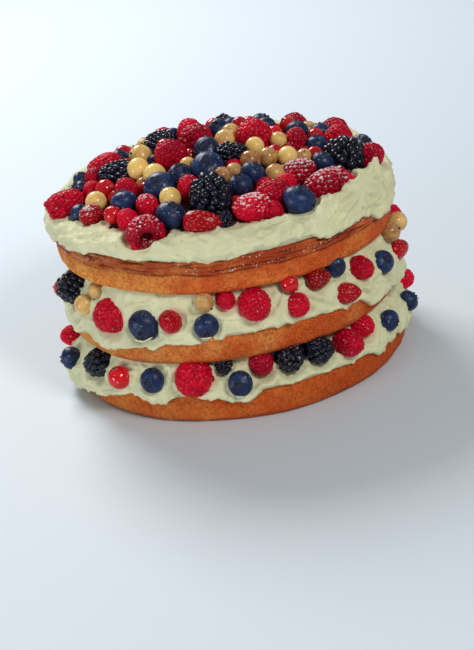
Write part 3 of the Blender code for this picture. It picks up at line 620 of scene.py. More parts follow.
def layHeap():
    # every berry on the top: kind, place, width, length, tip, sugar
    laid, setup = [], heapSetup
    much, some, little = setup["sugar"]
    for row, kind, x, y, width, *shown in inOrder(heapFruit):
        length, tip = width * setup["long"][kind], heapNormal(x, y)
        if shown:
            lift = math.radians(shown[2])
            length, tip = shown[0], Vector(at(shown[1], math.cos(lift), math.sin(lift)))
        place = Vector((x, y, heapHeight(x, y) + setup["raised"].get(row, 0.0)))
        laid.append((kind, place, width, length, tip, much if row in setup["sugared"] else some))
    draw = random.Random(setup["seed"])
    for depth, nearness, start, out, kinds in setup["passes"]:
        for i in range(setup["tries"]):
            reach = setup["reach"] * math.sqrt((i + 0.5) / setup["tries"])
            spot = Vector(at(start + setup["spiral"] * i, reach, 0.0))
            kind, width = kinds[draw.randrange(len(kinds))]
            width *= draw.uniform(0.92, 1.06)
            lean = Vector((draw.uniform(-0.6, 0.6), draw.uniform(-0.6, 0.6), 0))
            if spot.length > min(out, setup["reach"] - setup["drawnIn"] * max(0.0, spot.y)):
                continue
            spot.z = heapHeight(spot.x, spot.y) - depth
            if any((spot - other[1]).length < nearness * (width + other[2]) for other in laid):
                continue
            tip = (heapNormal(spot.x, spot.y) + lean).normalized()
            kind = setup["shown"].get(len(laid), kind)
            laid.append((kind, spot, width, width * setup["long"][kind], tip, little))
    return laid


heapLaid = layHeap()
sideLaid = {}
for layer, rows in fillingFruit.items():
    for number, kind, bearing, height, radius, width, length, *aside in inOrder(rows):
        tip = Vector(at(bearing + sum(aside), 1.0, 0.0))
        sideLaid[f"{kind}_{layer}_{number:02d}"] = (
            kind, Vector(at(bearing, radius, height)), width, length, tip, heapSetup["sugar"][-1])
print("fruit laid out:", len(heapLaid), "on the top,", len(sideLaid), "in the fillings")


creamLips = {
    "bottom": (
        (-90, 8, 104), (-76, 5, 105), (-60, 8, 101), (-50, 13, 100), (-42, 16, 99.5), (-34, 13, 100.5),
        (-20, 18, 99.5), (-8, 15, 100), (-2, 13, 101), (6, 19, 99), (38, 18, 99.5), (50, 14, 100.5),
        (60, 15, 100), (74, 10, 101), (92, 9, 101.5), (112, 15, 100), (128, 10, 101), (150, 17, 99.5),
        (172, 12, 101), (196, 17, 99.5), (218, 11, 101), (242, 16, 100), (258, 11, 102),
    ),
    "middle": (
        (-90, 43, 99), (-72, 43, 99.5), (-60, 46, 100), (-50, 43, 101), (-32, 48, 100), (-16, 50, 99.5),
        (-2, 54, 99.5), (16, 54, 100), (32, 52, 99.5), (42, 50, 100), (49, 44, 101), (57, 45, 101),
        (72, 41, 100.5), (92, 40, 100), (112, 46, 99.5), (130, 41, 101), (152, 45, 100), (176, 40, 101),
        (200, 46, 99.5), (222, 41, 101), (246, 45, 99.5),
    ),
    # on the top the third value is the height of the shoulder
    "top": (
        (-90, 98, 99.5, 108), (-62, 99, 99.5, 109), (-45, 101, 99.5, 109), (-25, 100.5, 100, 110),
        (-3, 97.5, 100.5, 110), (12, 100, 100, 109), (27, 99, 100, 109), (34, 95.5, 101, 111),
        (48, 96, 101, 114), (60, 90, 102, 114.5), (74, 91, 101, 112), (94, 93, 100, 109),
        (120, 96, 101, 110), (145, 92, 101, 108), (172, 98, 100, 110), (200, 94, 101, 109),
        (226, 99, 100, 110), (250, 94, 101, 108),
    ),
}
# how far the cream's upper edge is tucked in under the sponge above
creamTucks = {
    "bottom": (
        (-90, 2.5), (-62, 3.5), (-46, 1.5), (-26, 1.0), (-12, 3.5), (2, 6.0), (14, 11.0), (30, 10.5),
        (40, 5.5), (54, 2.5), (76, 2.0), (110, 4.0), (150, 2.0), (185, 5.5), (225, 2.5), (255, 4.0),
    ),
    "middle": (
        (-90, 5.0), (-64, 5.0), (-48, 1.5), (-30, 2.0), (-14, 4.5), (0, 5.0), (14, 5.5), (26, 4.5),
        (36, 5.5), (46, 2.5), (62, 1.5), (90, 1.5), (120, 4.0), (155, 5.5), (190, 2.0), (228, 5.0),
    ),
}
creamSetup = {
    "steps": 720, "strokes": 60, "strokeSeed": 21, "ragged": 1.5, "mmPerDegree": 1.75,
    # the curl at the right of the top is worked up more than the rest: bearing, width in degrees, share
    "curl": (55, 22, 0.3),
    # from how far out a berry is at the heap's rim; how far in the cream gives way, in berry widths:
    # at that rim, elsewhere on the top, and in the fillings
    "rimFrom": 66, "press": (-0.3, -0.1, 0.02),
    # rows between the rings of a filling and of the top
    "fillingRows": (3, 4, 5, 14, 14, 5), "topRows": (3, 4, 5, 9, 9, 7, 7, 4), "topSpan": 26.0,
}
# deeper folds in the cream: bearing, rise up the skin, slope, bend, width, size, half length
creamFolds = {
    "bottom": ((-66, 6, 0.2, 0.01, 3.0, 1.6, 12), (-50, 9, -0.3, 0.0, 2.2, 1.2, 9)),
    "middle": (
        (-62, 5, 0.15, 0.0, 2.4, 1.4, 12), (44, 7, 0.5, 0.0, 2.4, 1.8, 9), (52, 15, -0.3, 0.02, 2.4, 1.6, 9),
        (10, 12, 0.9, 0.0, 2.0, 1.3, 8), (26, 10, -0.6, 0.01, 2.0, 1.3, 9)),
    "top": (
        (62, 16, 0.25, 0.012, 3.4, 2.6, 16), (58, 8, 0.15, 0.01, 2.6, 2.0, 14),
        (70, 24, 0.1, -0.01, 2.8, 2.2, 14), (44, 10, 0.3, 0.01, 2.4, 1.5, 12),
        (36, 5, 0.25, 0.0, 1.8, 1.2, 10), (-70, 8, 0.1, 0.0, 2.4, 1.3, 16),
        (60, 12, 0.55, 0.02, 1.5, 2.2, 9), (63, 19, 0.55, 0.02, 1.5, 2.2, 9),
        (66, 27, 0.5, 0.02, 1.5, 2.0, 9), (38, 13, 0.5, 0.02, 1.6, 1.9, 8),
        (48, 20, -0.4, 0.02, 1.6, 1.8, 8), (20, 9, 0.4, 0.02, 1.6, 1.5, 8),
        (-30, 9, -0.15, 0.01, 2.0, 1.2, 14), (-52, 12, 0.2, 0.0, 2.2, 1.2, 12)),
}


def knifeStrokes(layer, bearing, rise, span, seed):
    # ridges that a palette knife leaves: long low curves, each with a furrow beside it
    draw = random.Random(seed)
    relief = np.zeros_like(rise)
    for middle, start, slope, bend, width, size, reach in creamFolds[layer]:
        run = creamSetup["mmPerDegree"] * turnFrom(middle, bearing)
        off = (rise - start - slope * run - bend * run * run) / width
        ridge = np.where(off > 0, np.exp(-(off / 1.3) ** 2), np.exp(-(off / 0.5) ** 2))
        relief += size * (ridge - 0.7 * np.exp(-(off + 1.3) ** 2)) * np.exp(-(run / reach) ** 4)
    for i in range(creamSetup["strokes"]):
        middle = 360 * (i + draw.uniform(-0.5, 0.5)) / creamSetup["strokes"]
        run = creamSetup["mmPerDegree"] * turnFrom(middle, bearing)
        start = draw.uniform(0.1, 0.95) * span
        slope, bend = draw.uniform(-0.35, 0.35), draw.uniform(-0.02, 0.02)
        width, size, reach = draw.uniform(0.9, 2.2), draw.uniform(0.5, 1.3), draw.uniform(6, 16)
        side = 1 if draw.random() < 0.5 else -1
        off = side * (rise - start - slope * run - bend * run * run) / width
        relief += size * (np.exp(-off ** 2) - 0.6 * np.exp(-(off + 1.5) ** 2)) * np.exp(-(run / reach) ** 4)
    return relief


def pressBerries(grid, normals, laid, upright):
    # the cream gives way under each berry, swells in a low rim round it, and takes a little of its juice
    juice = np.zeros(grid.shape[:2])
    atRim, onTop, inFilling = creamSetup["press"]
    for kind, place, width in (berry[:3] for berry in laid):
        centre = np.array(place)
        outward = np.array((0.0, 0.0, 1.0)) if upright else centre * (1, 1, 0)
        outward = outward / np.linalg.norm(outward)
        away = grid - centre
        depth = away @ outward
        share = np.linalg.norm(away - depth[..., None] * outward, axis=-1) / (0.5 * width)
        near = (np.abs(depth) < 16) & (share < 1.9)
        if not near.any():
            continue
        rim = math.hypot(centre[0], centre[1]) > creamSetup["rimFrom"]
        target = (inFilling if not upright else atRim if rim else onTop) * width
        press = smoothStep(1.38, 0.98, share) * near
        grid += ((np.minimum(depth, target) - depth) * press)[..., None] * outward
        swell = 0.6 * np.exp(-((share - 1.45) / 0.16) ** 2) * near
        grid += normals * swell[..., None]
        if kind in ("raspberry", "redcurrant", "strawberry"):
            juice = np.maximum(juice, near * smoothStep(1.2, 0.98, share) * 0.6)
    return juice


def creamPiece(layer, control, rows, laid, span, upright):
    steps = creamSetup["steps"]
    bearing = roundTheCake(steps)
    grid = throughRings(np.array(control), rows)
    normals = gridNormals(grid)
    climb = np.linalg.norm(np.diff(grid, axis=0), axis=-1)
    rise = np.concatenate([np.zeros((1, steps)), np.cumsum(climb, 0)])
    rise = rise - rise[rows[0] + rows[1]]  # measured up the skin from the lip
    relief = knifeStrokes(layer, bearing, rise, span, creamSetup["strokeSeed"] + len(layer) + int(span))
    relief = relief + 1.2 * noiseAt(grid, 17.0, 2.0 + span, 0.5) + 0.18 * noiseAt(grid, 2.4, 8.0)
    # soft cream pulls up into thin crests
    for size, shift, flat, height in ((13.0, 5.0, 0.6, 1.2), (5.0, 11.0, 0.7, 0.5)):
        crest = 1 - np.minimum(1, 3.2 * np.abs(noiseAt(grid, size, shift + span, flat)))
        relief += height * crest ** 2
    if upright:
        middle, width, more = creamSetup["curl"]
        relief *= 1 + more * np.exp(-((bearing - middle) / width) ** 2)
    grid = grid + normals * (relief * smoothStep(-2.5, 0.5, rise))[..., None]
    juice = pressBerries(grid, normals, laid, upright) * smoothStep(-0.1, 0.5, noiseAt(grid, 7.0, 15.0))
    points = np.concatenate([grid.reshape(-1, 3), [grid[0].mean(0), grid[-1].mean(0)]])
    piece = meshPiece(f"cream_{layer}_whipped", points, closedFaces(len(grid), steps), [creamSkin],
                      {"juice": np.append(juice.ravel(), (0, 0))})
    finishPiece(piece, "cream", f"cream_{layer}")


def raggedLip(bearing, seed):
    ring = at(bearing, 99.0, 0.0)
    waves = 1.1 * noiseAt(ring, 9.0, seed) + 0.7 * np.abs(noiseAt(ring, 4.0, seed + 3.0)) - 0.3
    return creamSetup["ragged"] * waves


def spreadCream(layer, lowerLayer, upperLayer=None):
    # a filling between two sponges, or the dish of cream on the top one
    lower, steps = spongeShapes[lowerLayer], creamSetup["steps"]
    bearing = roundTheCake(steps)
    lip, reach, *shoulders = along(creamLips[layer], bearing)
    edge = spongeRadius(lower, bearing)
    floor = spongeLevel(lower, "top", bearing, edge)
    if upperLayer:
        roof = spongeLevel(spongeShapes[upperLayer], "base", bearing, edge)
        tuck = along(creamTucks[layer], bearing)[0]
        lip = np.minimum(lip, floor - 2.0) - raggedLip(bearing, 5.0 + len(layer))
        above = [
            (reach - 1.8 - 0.15 * tuck, (lip + roof) / 2 - 0.3 * tuck),
            (edge - 3.6 - 0.9 * tuck, roof - 1.8 - 0.35 * tuck), (edge - 9 - 0.9 * tuck, roof + 4)]
    else:
        shoulder = shoulders[0]
        lip = np.minimum(lip, floor - 0.6) - raggedLip(bearing, 11.0)
        reach = np.maximum(reach, edge + 2.6)
        above = [(reach - 1.5, (lip + shoulder) / 2 + 1), (reach - 7, shoulder - 1), (reach - 14, shoulder),
                 (reach - 24, 109.0), (reach - 60, 111.0)]
    below = [(edge - 10, floor - 4), (edge - 2.5, np.minimum(lip, floor - 4)),
             (edge + (reach - edge) * 0.6, lip), (reach, lip + 2.5)]
    control = [at(bearing, radius, height) for radius, height in below + above]
    if upperLayer:
        laid = [berry for name, berry in sideLaid.items() if f"_{layer}_" in name]
        creamPiece(layer, control, creamSetup["fillingRows"], laid, float(np.mean(roof - lip)), False)
    else:
        creamPiece(layer, control, creamSetup["topRows"], heapLaid, creamSetup["topSpan"], True)


# cream dragged over a berry: from and to, in degrees aside and up from its outward side, and width
creamSmears = {
    "middle": (
        ("blueberry_middle_06", (-48, -42), (30, -58), 2.2),
        ("blueberry_middle_06", (-20, -66), (55, -30), 1.4),
        ("blueberry_middle_08", (-40, -48), (34, -44), 1.5)),
    "bottom": (("blueberry_bottom_08", (-50, -50), (20, -62), 1.6),),
}


def smearCream(layer):
    points, faces, sides, count = [], [], 8, 11
    for name, start, end, width in creamSmears[layer]:
        place, size = sideLaid[name][1:3]
        outward = math.degrees(math.atan2(place.x, -place.y))
        share = np.linspace(0, 1, count)
        aside, up = [start[k] + (end[k] - start[k]) * share for k in (0, 1)]
        facing = at(outward + aside, np.cos(np.radians(up)), np.sin(np.radians(up)))
        middle = np.array(place) + facing * 0.5 * size
        across = np.cross(np.gradient(middle, axis=0), facing)
        across /= np.linalg.norm(across, axis=-1, keepdims=True)
        plump = 0.15 + np.sqrt(np.sin(np.pi * np.clip(share, 0.01, 0.99)))
        thick = width * plump * (1 + 0.2 * np.sin(9 * share))
        turn = np.arange(sides) * 2 * np.pi / sides
        rings = (middle[:, None] + across[:, None] * (0.5 * thick[:, None] * np.cos(turn))[..., None]
                 + facing[:, None] * (0.32 * thick[:, None] * np.sin(turn))[..., None])
        first = sum(len(part) for part in points)
        points.append(np.concatenate([rings.reshape(-1, 3), middle[:1], middle[-1:]]))
        faces += [tuple(first + corner for corner in face) for face in closedFaces(count, sides)]
    piece = meshPiece(f"cream_{layer}_smears", np.concatenate(points), faces, [creamSkin])
    finishPiece(piece, "cream", f"cream_{layer}")


spreadCream("bottom", "bottom", "middle")
spreadCream("middle", "middle", "top")
spreadCream("top", "top")
for layer in creamSmears:
    smearCream(layer)
print("cream spread")


def studTree():
    # sets a rounded stud on every seat point of a fruit's body: drupelets, or a strawberry's seeds
    tree, given = newTree("studTree", {
        "Body": "Geometry", "Stud Width": "Float", "Stud Length": "Float", "Stud Height": "Float",
        "Unevenness": "Float", "Seed": "Int", "Body Skin": "Material", "Stud Skin": "Material"}, "Fruit")
    seat, facing, dome = [
        addNode(tree, "InputNamedAttribute", {"Name": key}, data_type=kind)
        for key, kind in (("seat", "FLOAT"), ("facing", "FLOAT_VECTOR"), ("dome", "FLOAT"))]
    isSeat, isStud = [addNode(tree, "Compare", {0: source, 1: 0.01}, data_type="FLOAT",
                              operation="GREATER_THAN") for source in (seat, dome)]
    # the stud: the outer cap of a small ball
    ball = addNode(tree, "MeshUVSphere", {"Segments": 8, "Rings": 6, "Radius": 1.0})
    spot = addNode(tree, "InputPosition")
    height = addNode(tree, "SeparateXYZ", {"Vector": spot}).outputs["Z"]
    low = addNode(tree, "Compare", {0: height, 1: -0.3}, data_type="FLOAT", operation="LESS_THAN")
    cap = addNode(tree, "DeleteGeometry", {"Geometry": ball, "Selection": low}, domain="POINT")
    level = addNode(tree, "Math", {0: height, 1: 0.02}, operation="MAXIMUM")
    rounded = addNode(tree, "StoreNamedAttribute", {"Geometry": cap, "Name": "dome", "Value": level},
                      data_type="FLOAT", domain="POINT")
    size = addNode(tree, "CombineXYZ", {
        "X": given["Stud Width"], "Y": given["Stud Length"], "Z": given["Stud Height"]})
    least, most = [addNode(tree, "Math", {0: 1.0, 1: given["Unevenness"]}, operation=way)
                   for way in ("SUBTRACT", "ADD")]
    chance, tone = [addNode(tree, "RandomValue", {**ends, "Seed": given["Seed"]}, data_type="FLOAT")
                    for ends in ({"Min": least, "Max": most}, {})]
    factor = addNode(tree, "Math", {0: chance, 1: seat}, operation="MULTIPLY")
    scaled = addNode(tree, "VectorMath", {0: size, "Scale": factor}, operation="SCALE")
    turned = addNode(tree, "AlignRotationToVector", {"Vector": facing}, axis="Z")
    studs = addNode(tree, "InstanceOnPoints", {
        "Points": given["Body"], "Selection": isSeat, "Instance": rounded, "Rotation": turned,
        "Scale": scaled})
    toned = addNode(tree, "StoreNamedAttribute", {"Geometry": studs, "Name": "tone", "Value": tone},
                    data_type="FLOAT", domain="INSTANCE")
    body = addNode(tree, "DeleteGeometry", {"Geometry": given["Body"], "Selection": isSeat},
                   domain="POINT")
    joined = addNode(tree, "JoinGeometry", {"Geometry": body})
    fillInputs(joined, {"Geometry": toned})
    real = addNode(tree, "RealizeInstances", {"Geometry": joined})
    dressed = addNode(tree, "SetMaterial", {"Geometry": real, "Material": given["Body Skin"]})
    dressedStuds = addNode(tree, "SetMaterial", {
        "Geometry": dressed, "Selection": isStud, "Material": given["Stud Skin"]})
    addNode(tree, "GroupOutput", {0: dressedStuds})
    return tree


def turnedBody(profile, steps, shapeRing=None):
    # rings of (radius, height) turned about Z, as closed points and faces in fruit units
    turn = np.arange(steps) * 2 * np.pi / steps
    rings = []
    for radius, height in profile[1:-1]:
        ring = np.stack([radius * np.cos(turn), radius * np.sin(turn), np.full(steps, height)], -1)
        rings.append(shapeRing(ring, turn, radius, height) if shapeRing else ring)
    points = np.concatenate([np.concatenate(rings), [(0, 0, profile[0][1]), (0, 0, profile[-1][1])]])
    return points, closedFaces(len(rings), steps)


def asTemplate(piece):
    # the finished mesh as plain arrays in fruit units, with its object removed
    mesh = piece.data
    mesh.calc_loop_triangles()
    made = {"materials": list(mesh.materials)}
    for key, rows, field, width, kind in (
            ("points", mesh.vertices, "co", 3, np.float32),
            ("faces", mesh.loop_triangles, "vertices", 3, np.int32),
            ("skins", mesh.loop_triangles, "material_index", 1, np.int32)):
        made[key] = np.empty(len(rows) * width, kind)
        rows.foreach_get(field, made[key])
    for key, plain in (("dome", 0.0), ("tone", 0.5)):
        made[key] = np.full(len(mesh.vertices), plain, np.float32)
        if key in mesh.attributes:
            mesh.attributes[key].data.foreach_get("value", made[key])
    made["points"], made["faces"] = made["points"].reshape(-1, 3) / mm, made["faces"].reshape(-1, 3)
    bpy.data.objects.remove(piece, do_unlink=True)
    return made


def studdedTemplate(name, body, faces, seats, facing, sizes, stud, materials, seed):
    # body and seats in one mesh, then the stud tree, then plain arrays
    count = len(body)
    piece = meshPiece(name, np.concatenate([body, seats]), faces, materials, {
        "seat": np.concatenate([np.zeros(count), sizes]),
        "facing": np.concatenate([np.zeros((count, 3)), facing])})
    growOn(piece, fruitTree, {
        "Stud Width": stud["width"] * mm, "Stud Length": stud["length"] * mm,
        "Stud Height": stud["height"] * mm, "Unevenness": stud["uneven"], "Seed": seed,
        "Body Skin": materials[0], "Stud Skin": materials[-1]})
    return asTemplate(piece)


# Drupelet rows from the hollow end to the tip: height, radius of the seats, how many, size
raspberrySetup = {
    "rows": ((-0.41, 0.375, 14, 0.95), (-0.29, 0.425, 16, 1.0), (-0.16, 0.44, 16, 1.05),
             (-0.03, 0.43, 16, 1.05), (0.1, 0.4, 15, 1.05), (0.22, 0.345, 13, 1.05),
             (0.325, 0.265, 10, 1.05), (0.4, 0.165, 7, 1.0), (0.435, 0.055, 3, 0.95)),
    "body": ((0.0, -0.1), (0.12, -0.11), (0.17, -0.3), (0.2, -0.43), (0.27, -0.475), (0.35, -0.45),
             (0.41, -0.33), (0.425, -0.1), (0.4, 0.08), (0.33, 0.24), (0.21, 0.36), (0.08, 0.42),
             (0.0, 0.43)),
    "stud": {"width": 0.106, "length": 0.1, "height": 0.062, "uneven": 0.08}, "steps": 20, "jitter": 0.012,
}
brambleSetup = {
    "rows": ((-0.38, 0.28, 9, 0.9), (-0.27, 0.37, 11, 1.0), (-0.13, 0.4, 12, 1.05), (0.02, 0.385, 11, 1.05),
             (0.16, 0.34, 10, 1.05), (0.28, 0.26, 8, 1.0), (0.37, 0.16, 5, 0.95), (0.41, 0.03, 1, 0.9)),
    "body": ((0.0, -0.44), (0.1, -0.45), (0.24, -0.42), (0.34, -0.3), (0.38, -0.12), (0.36, 0.05),
             (0.3, 0.2), (0.19, 0.33), (0.07, 0.39), (0.0, 0.4)),
    "stud": {"width": 0.122, "length": 0.115, "height": 0.125, "uneven": 0.16}, "steps": 18, "jitter": 0.02,
}
strawberrySetup = {
    "body": ((0.0, -0.47), (0.12, -0.475), (0.26, -0.46), (0.39, -0.4), (0.46, -0.3), (0.485, -0.17),
             (0.47, -0.03), (0.43, 0.1), (0.37, 0.22), (0.29, 0.32), (0.19, 0.41), (0.09, 0.47),
             (0.0, 0.49)),
    "stud": {"width": 0.019, "length": 0.031, "height": 0.018, "uneven": 0.15}, "steps": 40,
    "seeds": 74, "spiral": 137.5, "dent": 0.028,
}
# Round fruit: the ring at which the withered flower starts, and how far its lobes stand up
blueberrySetup = {
    "body": ((0.0, -0.5), (0.12, -0.49), (0.26, -0.44), (0.38, -0.33), (0.46, -0.18), (0.495, -0.02),
             (0.485, 0.12), (0.43, 0.26), (0.34, 0.36), (0.25, 0.405), (0.19, 0.43), (0.18, 0.475),
             (0.155, 0.485), (0.135, 0.45), (0.08, 0.4), (0.04, 0.39), (0.0, 0.39)),
    "steps": 30, "crownFrom": 10, "crown": crownSkin, "lobes": 0.045,
}
currantSetup = {
    "body": ((0.0, -0.5), (0.1, -0.49), (0.25, -0.43), (0.38, -0.32), (0.46, -0.18), (0.5, 0.0),
             (0.47, 0.17), (0.39, 0.31), (0.27, 0.42), (0.14, 0.475), (0.05, 0.48), (0.055, 0.53),
             (0.035, 0.56), (0.015, 0.52), (0.0, 0.5)),
    "steps": 22, "crownFrom": 10, "crown": flowerSkin, "lobes": 0.02,
}


def drupeletForm(kind, setup, seed):
    draw = random.Random(seed)
    seats, facing, sizes = [], [], []
    for order, (height, radius, count, size) in enumerate(setup["rows"]):
        start = draw.uniform(0, 360) if order == 0 else start + 180 / count + draw.uniform(-3, 3)
        for i in range(count):
            turn = math.radians(start + 360 * i / count)
            out = radius + draw.uniform(-1, 1) * setup["jitter"]
            rise = height + draw.uniform(-1, 1) * setup["jitter"]
            seats.append((out * math.cos(turn), out * math.sin(turn), rise))
            direction = Vector((math.cos(turn) * radius, math.sin(turn) * radius, 0.9 * height))
            facing.append(direction.normalized())
            sizes.append(size)
    body, faces = turnedBody(setup["body"], setup["steps"])
    return studdedTemplate(f"{kind}Form", body, faces, np.array(seats), np.array(facing), np.array(sizes),
                           setup["stud"], [skins[kind]], seed)


def strawberryForm(kind, setup, seed):
    radii, heights = np.array(setup["body"]).T
    fine, knots = np.linspace(0, len(heights) - 1, 27), range(len(heights))
    profile = list(zip(np.interp(fine, knots, radii), np.interp(fine, knots, heights)))
    body, faces = turnedBody(profile, setup["steps"])
    draw = random.Random(seed)
    seats, facing = [], []
    for i in range(setup["seeds"]):
        # a sunflower spiral from tip to shoulder keeps the seeds evenly apart
        height = 0.44 - 0.8 * ((i + 0.5) / setup["seeds"]) ** 0.8
        radius = float(np.interp(height, heights[4:], radii[4:]) if height < -0.3 else
                       np.interp(-height, -heights[::-1], radii[::-1]))
        turn = math.radians(setup["spiral"] * i + draw.uniform(-8, 8))
        seats.append((radius * math.cos(turn), radius * math.sin(turn), height))
        facing.append(Vector((math.cos(turn), math.sin(turn), 1.2 * height + 0.15)).normalized())
    seats, facing = np.array(seats), np.array(facing)
    gaps = np.linalg.norm(body[:, None, :] - seats[None], axis=-1).min(1)
    lengths = np.maximum(np.linalg.norm(body, axis=-1, keepdims=True), 1e-6)
    body = body + body / lengths * (0.02 - setup["dent"] * np.exp(-(gaps / 0.045) ** 2) * 1.6)[:, None]
    return studdedTemplate(f"{kind}Form", body, faces, seats, facing, np.ones(len(seats)), setup["stud"],
                           [skins[kind], seedSkin], seed)


def roundForm(kind, setup, seed):
    # blueberry or currant: a round body with its withered flower at the tip
    def shapeRing(ring, turn, radius, height):
        if height > 0.42 and radius < 0.24:
            ring[:, 2] += setup["lobes"] * np.cos(5 * turn + seed) * smoothStep(0.4, 0.5, height)
        return ring
    points, faces = turnedBody(setup["body"], setup["steps"], shapeRing)
    first = (setup["crownFrom"] - 1) * setup["steps"]
    numbers = [1 if min(face) >= first and max(face) != len(points) - 2 else 0 for face in faces]
    return asTemplate(meshPiece(f"{kind}Form", points, faces, [skins[kind], setup["crown"]], skins=numbers))


fruitTree = studTree()
fruitForms = {
    # how it is made, its sizes, and a seed for each form of it
    "raspberry": (drupeletForm, raspberrySetup, (10, 11, 12, 13)),
    "bramble": (drupeletForm, brambleSetup, (20, 21, 22)),
    "strawberry": (strawberryForm, strawberrySetup, (30, 31)),
    "blueberry": (roundForm, blueberrySetup, (0, 1, 2)),
    "redcurrant": (roundForm, currantSetup, (1,)),
    "whitecurrant": (roundForm, currantSetup, (2,)),
}
templates = {kind: [form(kind, setup, seed) for seed in seeds]
             for kind, (form, setup, seeds) in fruitForms.items()}
print("fruit forms:", {kind: len(forms[0]["faces"]) for kind, forms in templates.items()})

# how far each kind strays from round, its tip's droop, and how freely a round one's flower end points
fruitUneven = {
    "raspberry": (0.05, 0.1, 0), "bramble": (0.06, 0.12, 0), "strawberry": (0.06, 0.14, 0),
    "blueberry": (0.035, 0.0, 0.6), "redcurrant": (0.02, 0.0, 1.6), "whitecurrant": (0.03, 0.0, 1.6),
}


def placedFruit(berry, draw):
    kind, place, width, length, tip, sugar = berry
    form = templates[kind][draw.randrange(len(templates[kind]))]
    points = form["points"].copy()
    squash, droop, freedom = fruitUneven[kind]
    across = np.arctan2(points[:, 1], points[:, 0])
    phase = draw.uniform(0, 2 * math.pi)
    points[:, :2] *= (1 + squash * np.cos(2 * across + phase) * draw.uniform(0.3, 1))[:, None]
    points[:, 0] += droop * draw.uniform(-1, 1) * (points[:, 2] + 0.1) ** 2
    points *= np.array((width, width, length))
    spin = Matrix.Rotation(draw.uniform(0, 2 * math.pi), 3, "Z")
    if freedom:
        lean = Vector([draw.gauss(0, 1) for axis in range(3)]).normalized()
        tip = (tip + freedom * lean).normalized()
    turn = Vector((0, 0, 1)).rotation_difference(tip).to_matrix() @ spin
    points = points @ np.array(turn).T + np.array(place)
    return {"points": points, "faces": form["faces"], "skins": form["skins"], "materials": form["materials"],
            "values": {"dome": form["dome"], "shade": draw.uniform(0.0, 0.9) + 0.4 * (form["tone"] - 0.5),
                       "sugar": np.full(len(points), sugar * draw.uniform(0.6, 1.1))}}


def joinFruit(name, placed):
    starts = np.cumsum([0] + [len(one["points"]) for one in placed])
    points, numbers = [np.concatenate([one[key] for one in placed]) for key in ("points", "skins")]
    faces = np.concatenate([one["faces"] + start for one, start in zip(placed, starts)]).tolist()
    values = {key: np.concatenate([one["values"][key] for one in placed]) for key in placed[0]["values"]}
    return meshPiece(name, points, faces, placed[0]["materials"], values, numbers)


draw = random.Random(5)
for name, berry in sideLaid.items():
    finishPiece(joinFruit(f"{name}_fruit", [placedFruit(berry, draw)]), berry[0], name)
print("fruit in the fillings made")

for kind in templates:
    placed = [placedFruit(berry, draw) for berry in heapLaid if berry[0] == kind]
    piece = joinFruit(f"heap_{kind}", placed)
    finishPiece(piece, kind, "berry_heap")
    print("heap", kind, len(placed), "berries,", len(piece.data.polygons), "faces")


def buildHeapCore():
    # a dark mass under the berries that show, filling the heap below them; its dark colour is painted shade
    # between the berries
    setup, rings = heapSetup, []
    bearing = roundTheCake(setup["coreSteps"])
    for radius in setup["core"]:
        x, y = at(bearing, float(radius), 0.0).T[:2]
        height = heapHeight(x, y) - setup["coreDepth"] if rings else setup["coreFoot"]
        ring = at(bearing, float(radius), height)
        if rings:
            ring[:, 2] += 1.4 * noiseAt(ring, 7.0, 3.0)
        rings.append(ring)
    ends = [(0, 0, setup["coreFoot"]), (0, 0, heapHeight(0, 0) - setup["coreDepth"])]
    piece = meshPiece("heap_core", np.concatenate(rings + [ends]), closedFaces(len(rings), len(bearing)),
                      [heapGapShadeSkin])
    finishPiece(piece, "berry_heap", "berry_heap")


buildHeapCore()
print("heap made")

stageSetup = {
    "floor": "D2DCE4", "half": 4000, "level": -0.3, "room": "E8F0F8", "roomLight": 0.25,
    # name: place, aim, size in metres, power in watts, colour
    "lights": {
        "windowBack": ((-0.4, 1.05, 1.0), (0, 0, 0.08), 0.7, 17.5, "FFFFFF"),
        "windowLeft": ((-1.25, -0.85, 0.14), (0, 0, 0.06), 0.5, 9.0, "FAFBFF"),
        "softFront": ((0.7, -1.2, 1.15), (0, 0, 0.06), 0.5, 14.5, "FFFAF4"),
    },
}


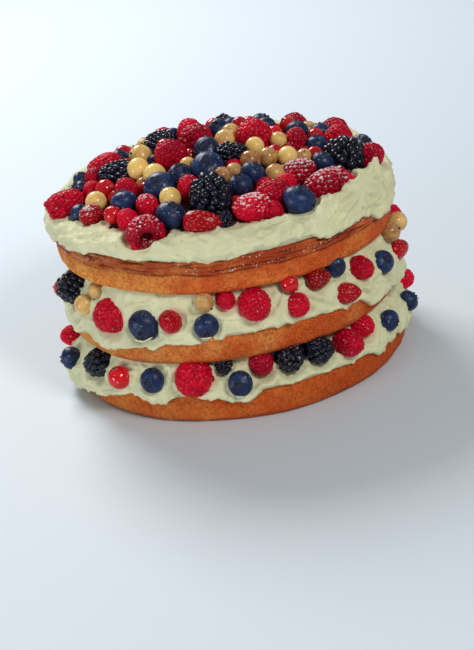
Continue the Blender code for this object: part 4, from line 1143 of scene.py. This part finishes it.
def buildStage():
    half, level = stageSetup["half"], stageSetup["level"]
    material = newMaterial("paleFloor", {"Roughness": 0.6, "Base Color": linear(stageSetup["floor"])})[0]
    corners = [(x * half, y * half, level) for x, y in ((-1, -1), (1, -1), (1, 1), (-1, 1))]
    floor = meshPiece("floor", corners, [(0, 1, 2, 3)], [material])
    for name, (place, aim, size, power, colour) in stageSetup["lights"].items():
        lamp = bpy.data.lights.new(name, "AREA")
        lamp.shape, lamp.size, lamp.energy, lamp.color = "DISK", size, power, linear(colour)[:3]
        light = bpy.data.objects.new(name, lamp)
        light.location = place
        light.rotation_euler = (Vector(aim) - Vector(place)).to_track_quat("-Z", "Y").to_euler()
        bpy.context.scene.collection.objects.link(light)
    world = bpy.data.worlds.new("softRoom")
    world.use_nodes = True
    fillInputs(world.node_tree.nodes["Background"], {
        "Color": linear(stageSetup["room"]), "Strength": stageSetup["roomLight"]})
    bpy.context.scene.world = world


# the photograph's view: focal length in pixels over the frame's height, angles, and metres
cameraSetup = {"sensor": 36.0, "focal": 2000 / 650, "elevation": 23.9, "roll": 9.2, "distance": 1.172,
               "aside": -0.002, "up": -0.0411, "aimHeight": 0.06}


def addCamera():
    lift, roll = math.radians(cameraSetup["elevation"]), math.radians(cameraSetup["roll"])
    forward = Vector((0, math.cos(lift), -math.sin(lift)))
    right = Vector((1, 0, 0))
    up = Vector((0, math.sin(lift), math.cos(lift)))
    place = (Vector((0, 0, cameraSetup["aimHeight"])) - forward * cameraSetup["distance"]
             + right * cameraSetup["aside"] + up * cameraSetup["up"])
    across = right * math.cos(roll) - up * math.sin(roll)
    upright = right * math.sin(roll) + up * math.cos(roll)
    lens = bpy.data.cameras.new("camera")
    lens.sensor_width, lens.sensor_fit = cameraSetup["sensor"], "AUTO"
    lens.lens = cameraSetup["sensor"] * cameraSetup["focal"]
    lens.clip_start, lens.clip_end = 0.05, 50.0
    camera = bpy.data.objects.new("camera", lens)
    turn = Matrix((across, upright, -forward)).transposed().to_4x4()
    camera.matrix_world = Matrix.Translation(place) @ turn
    bpy.context.scene.collection.objects.link(camera)
    bpy.context.scene.camera = camera


buildStage()
addCamera()
bpy.context.scene.view_settings.view_transform = "Standard"
print("stage, light and camera set")
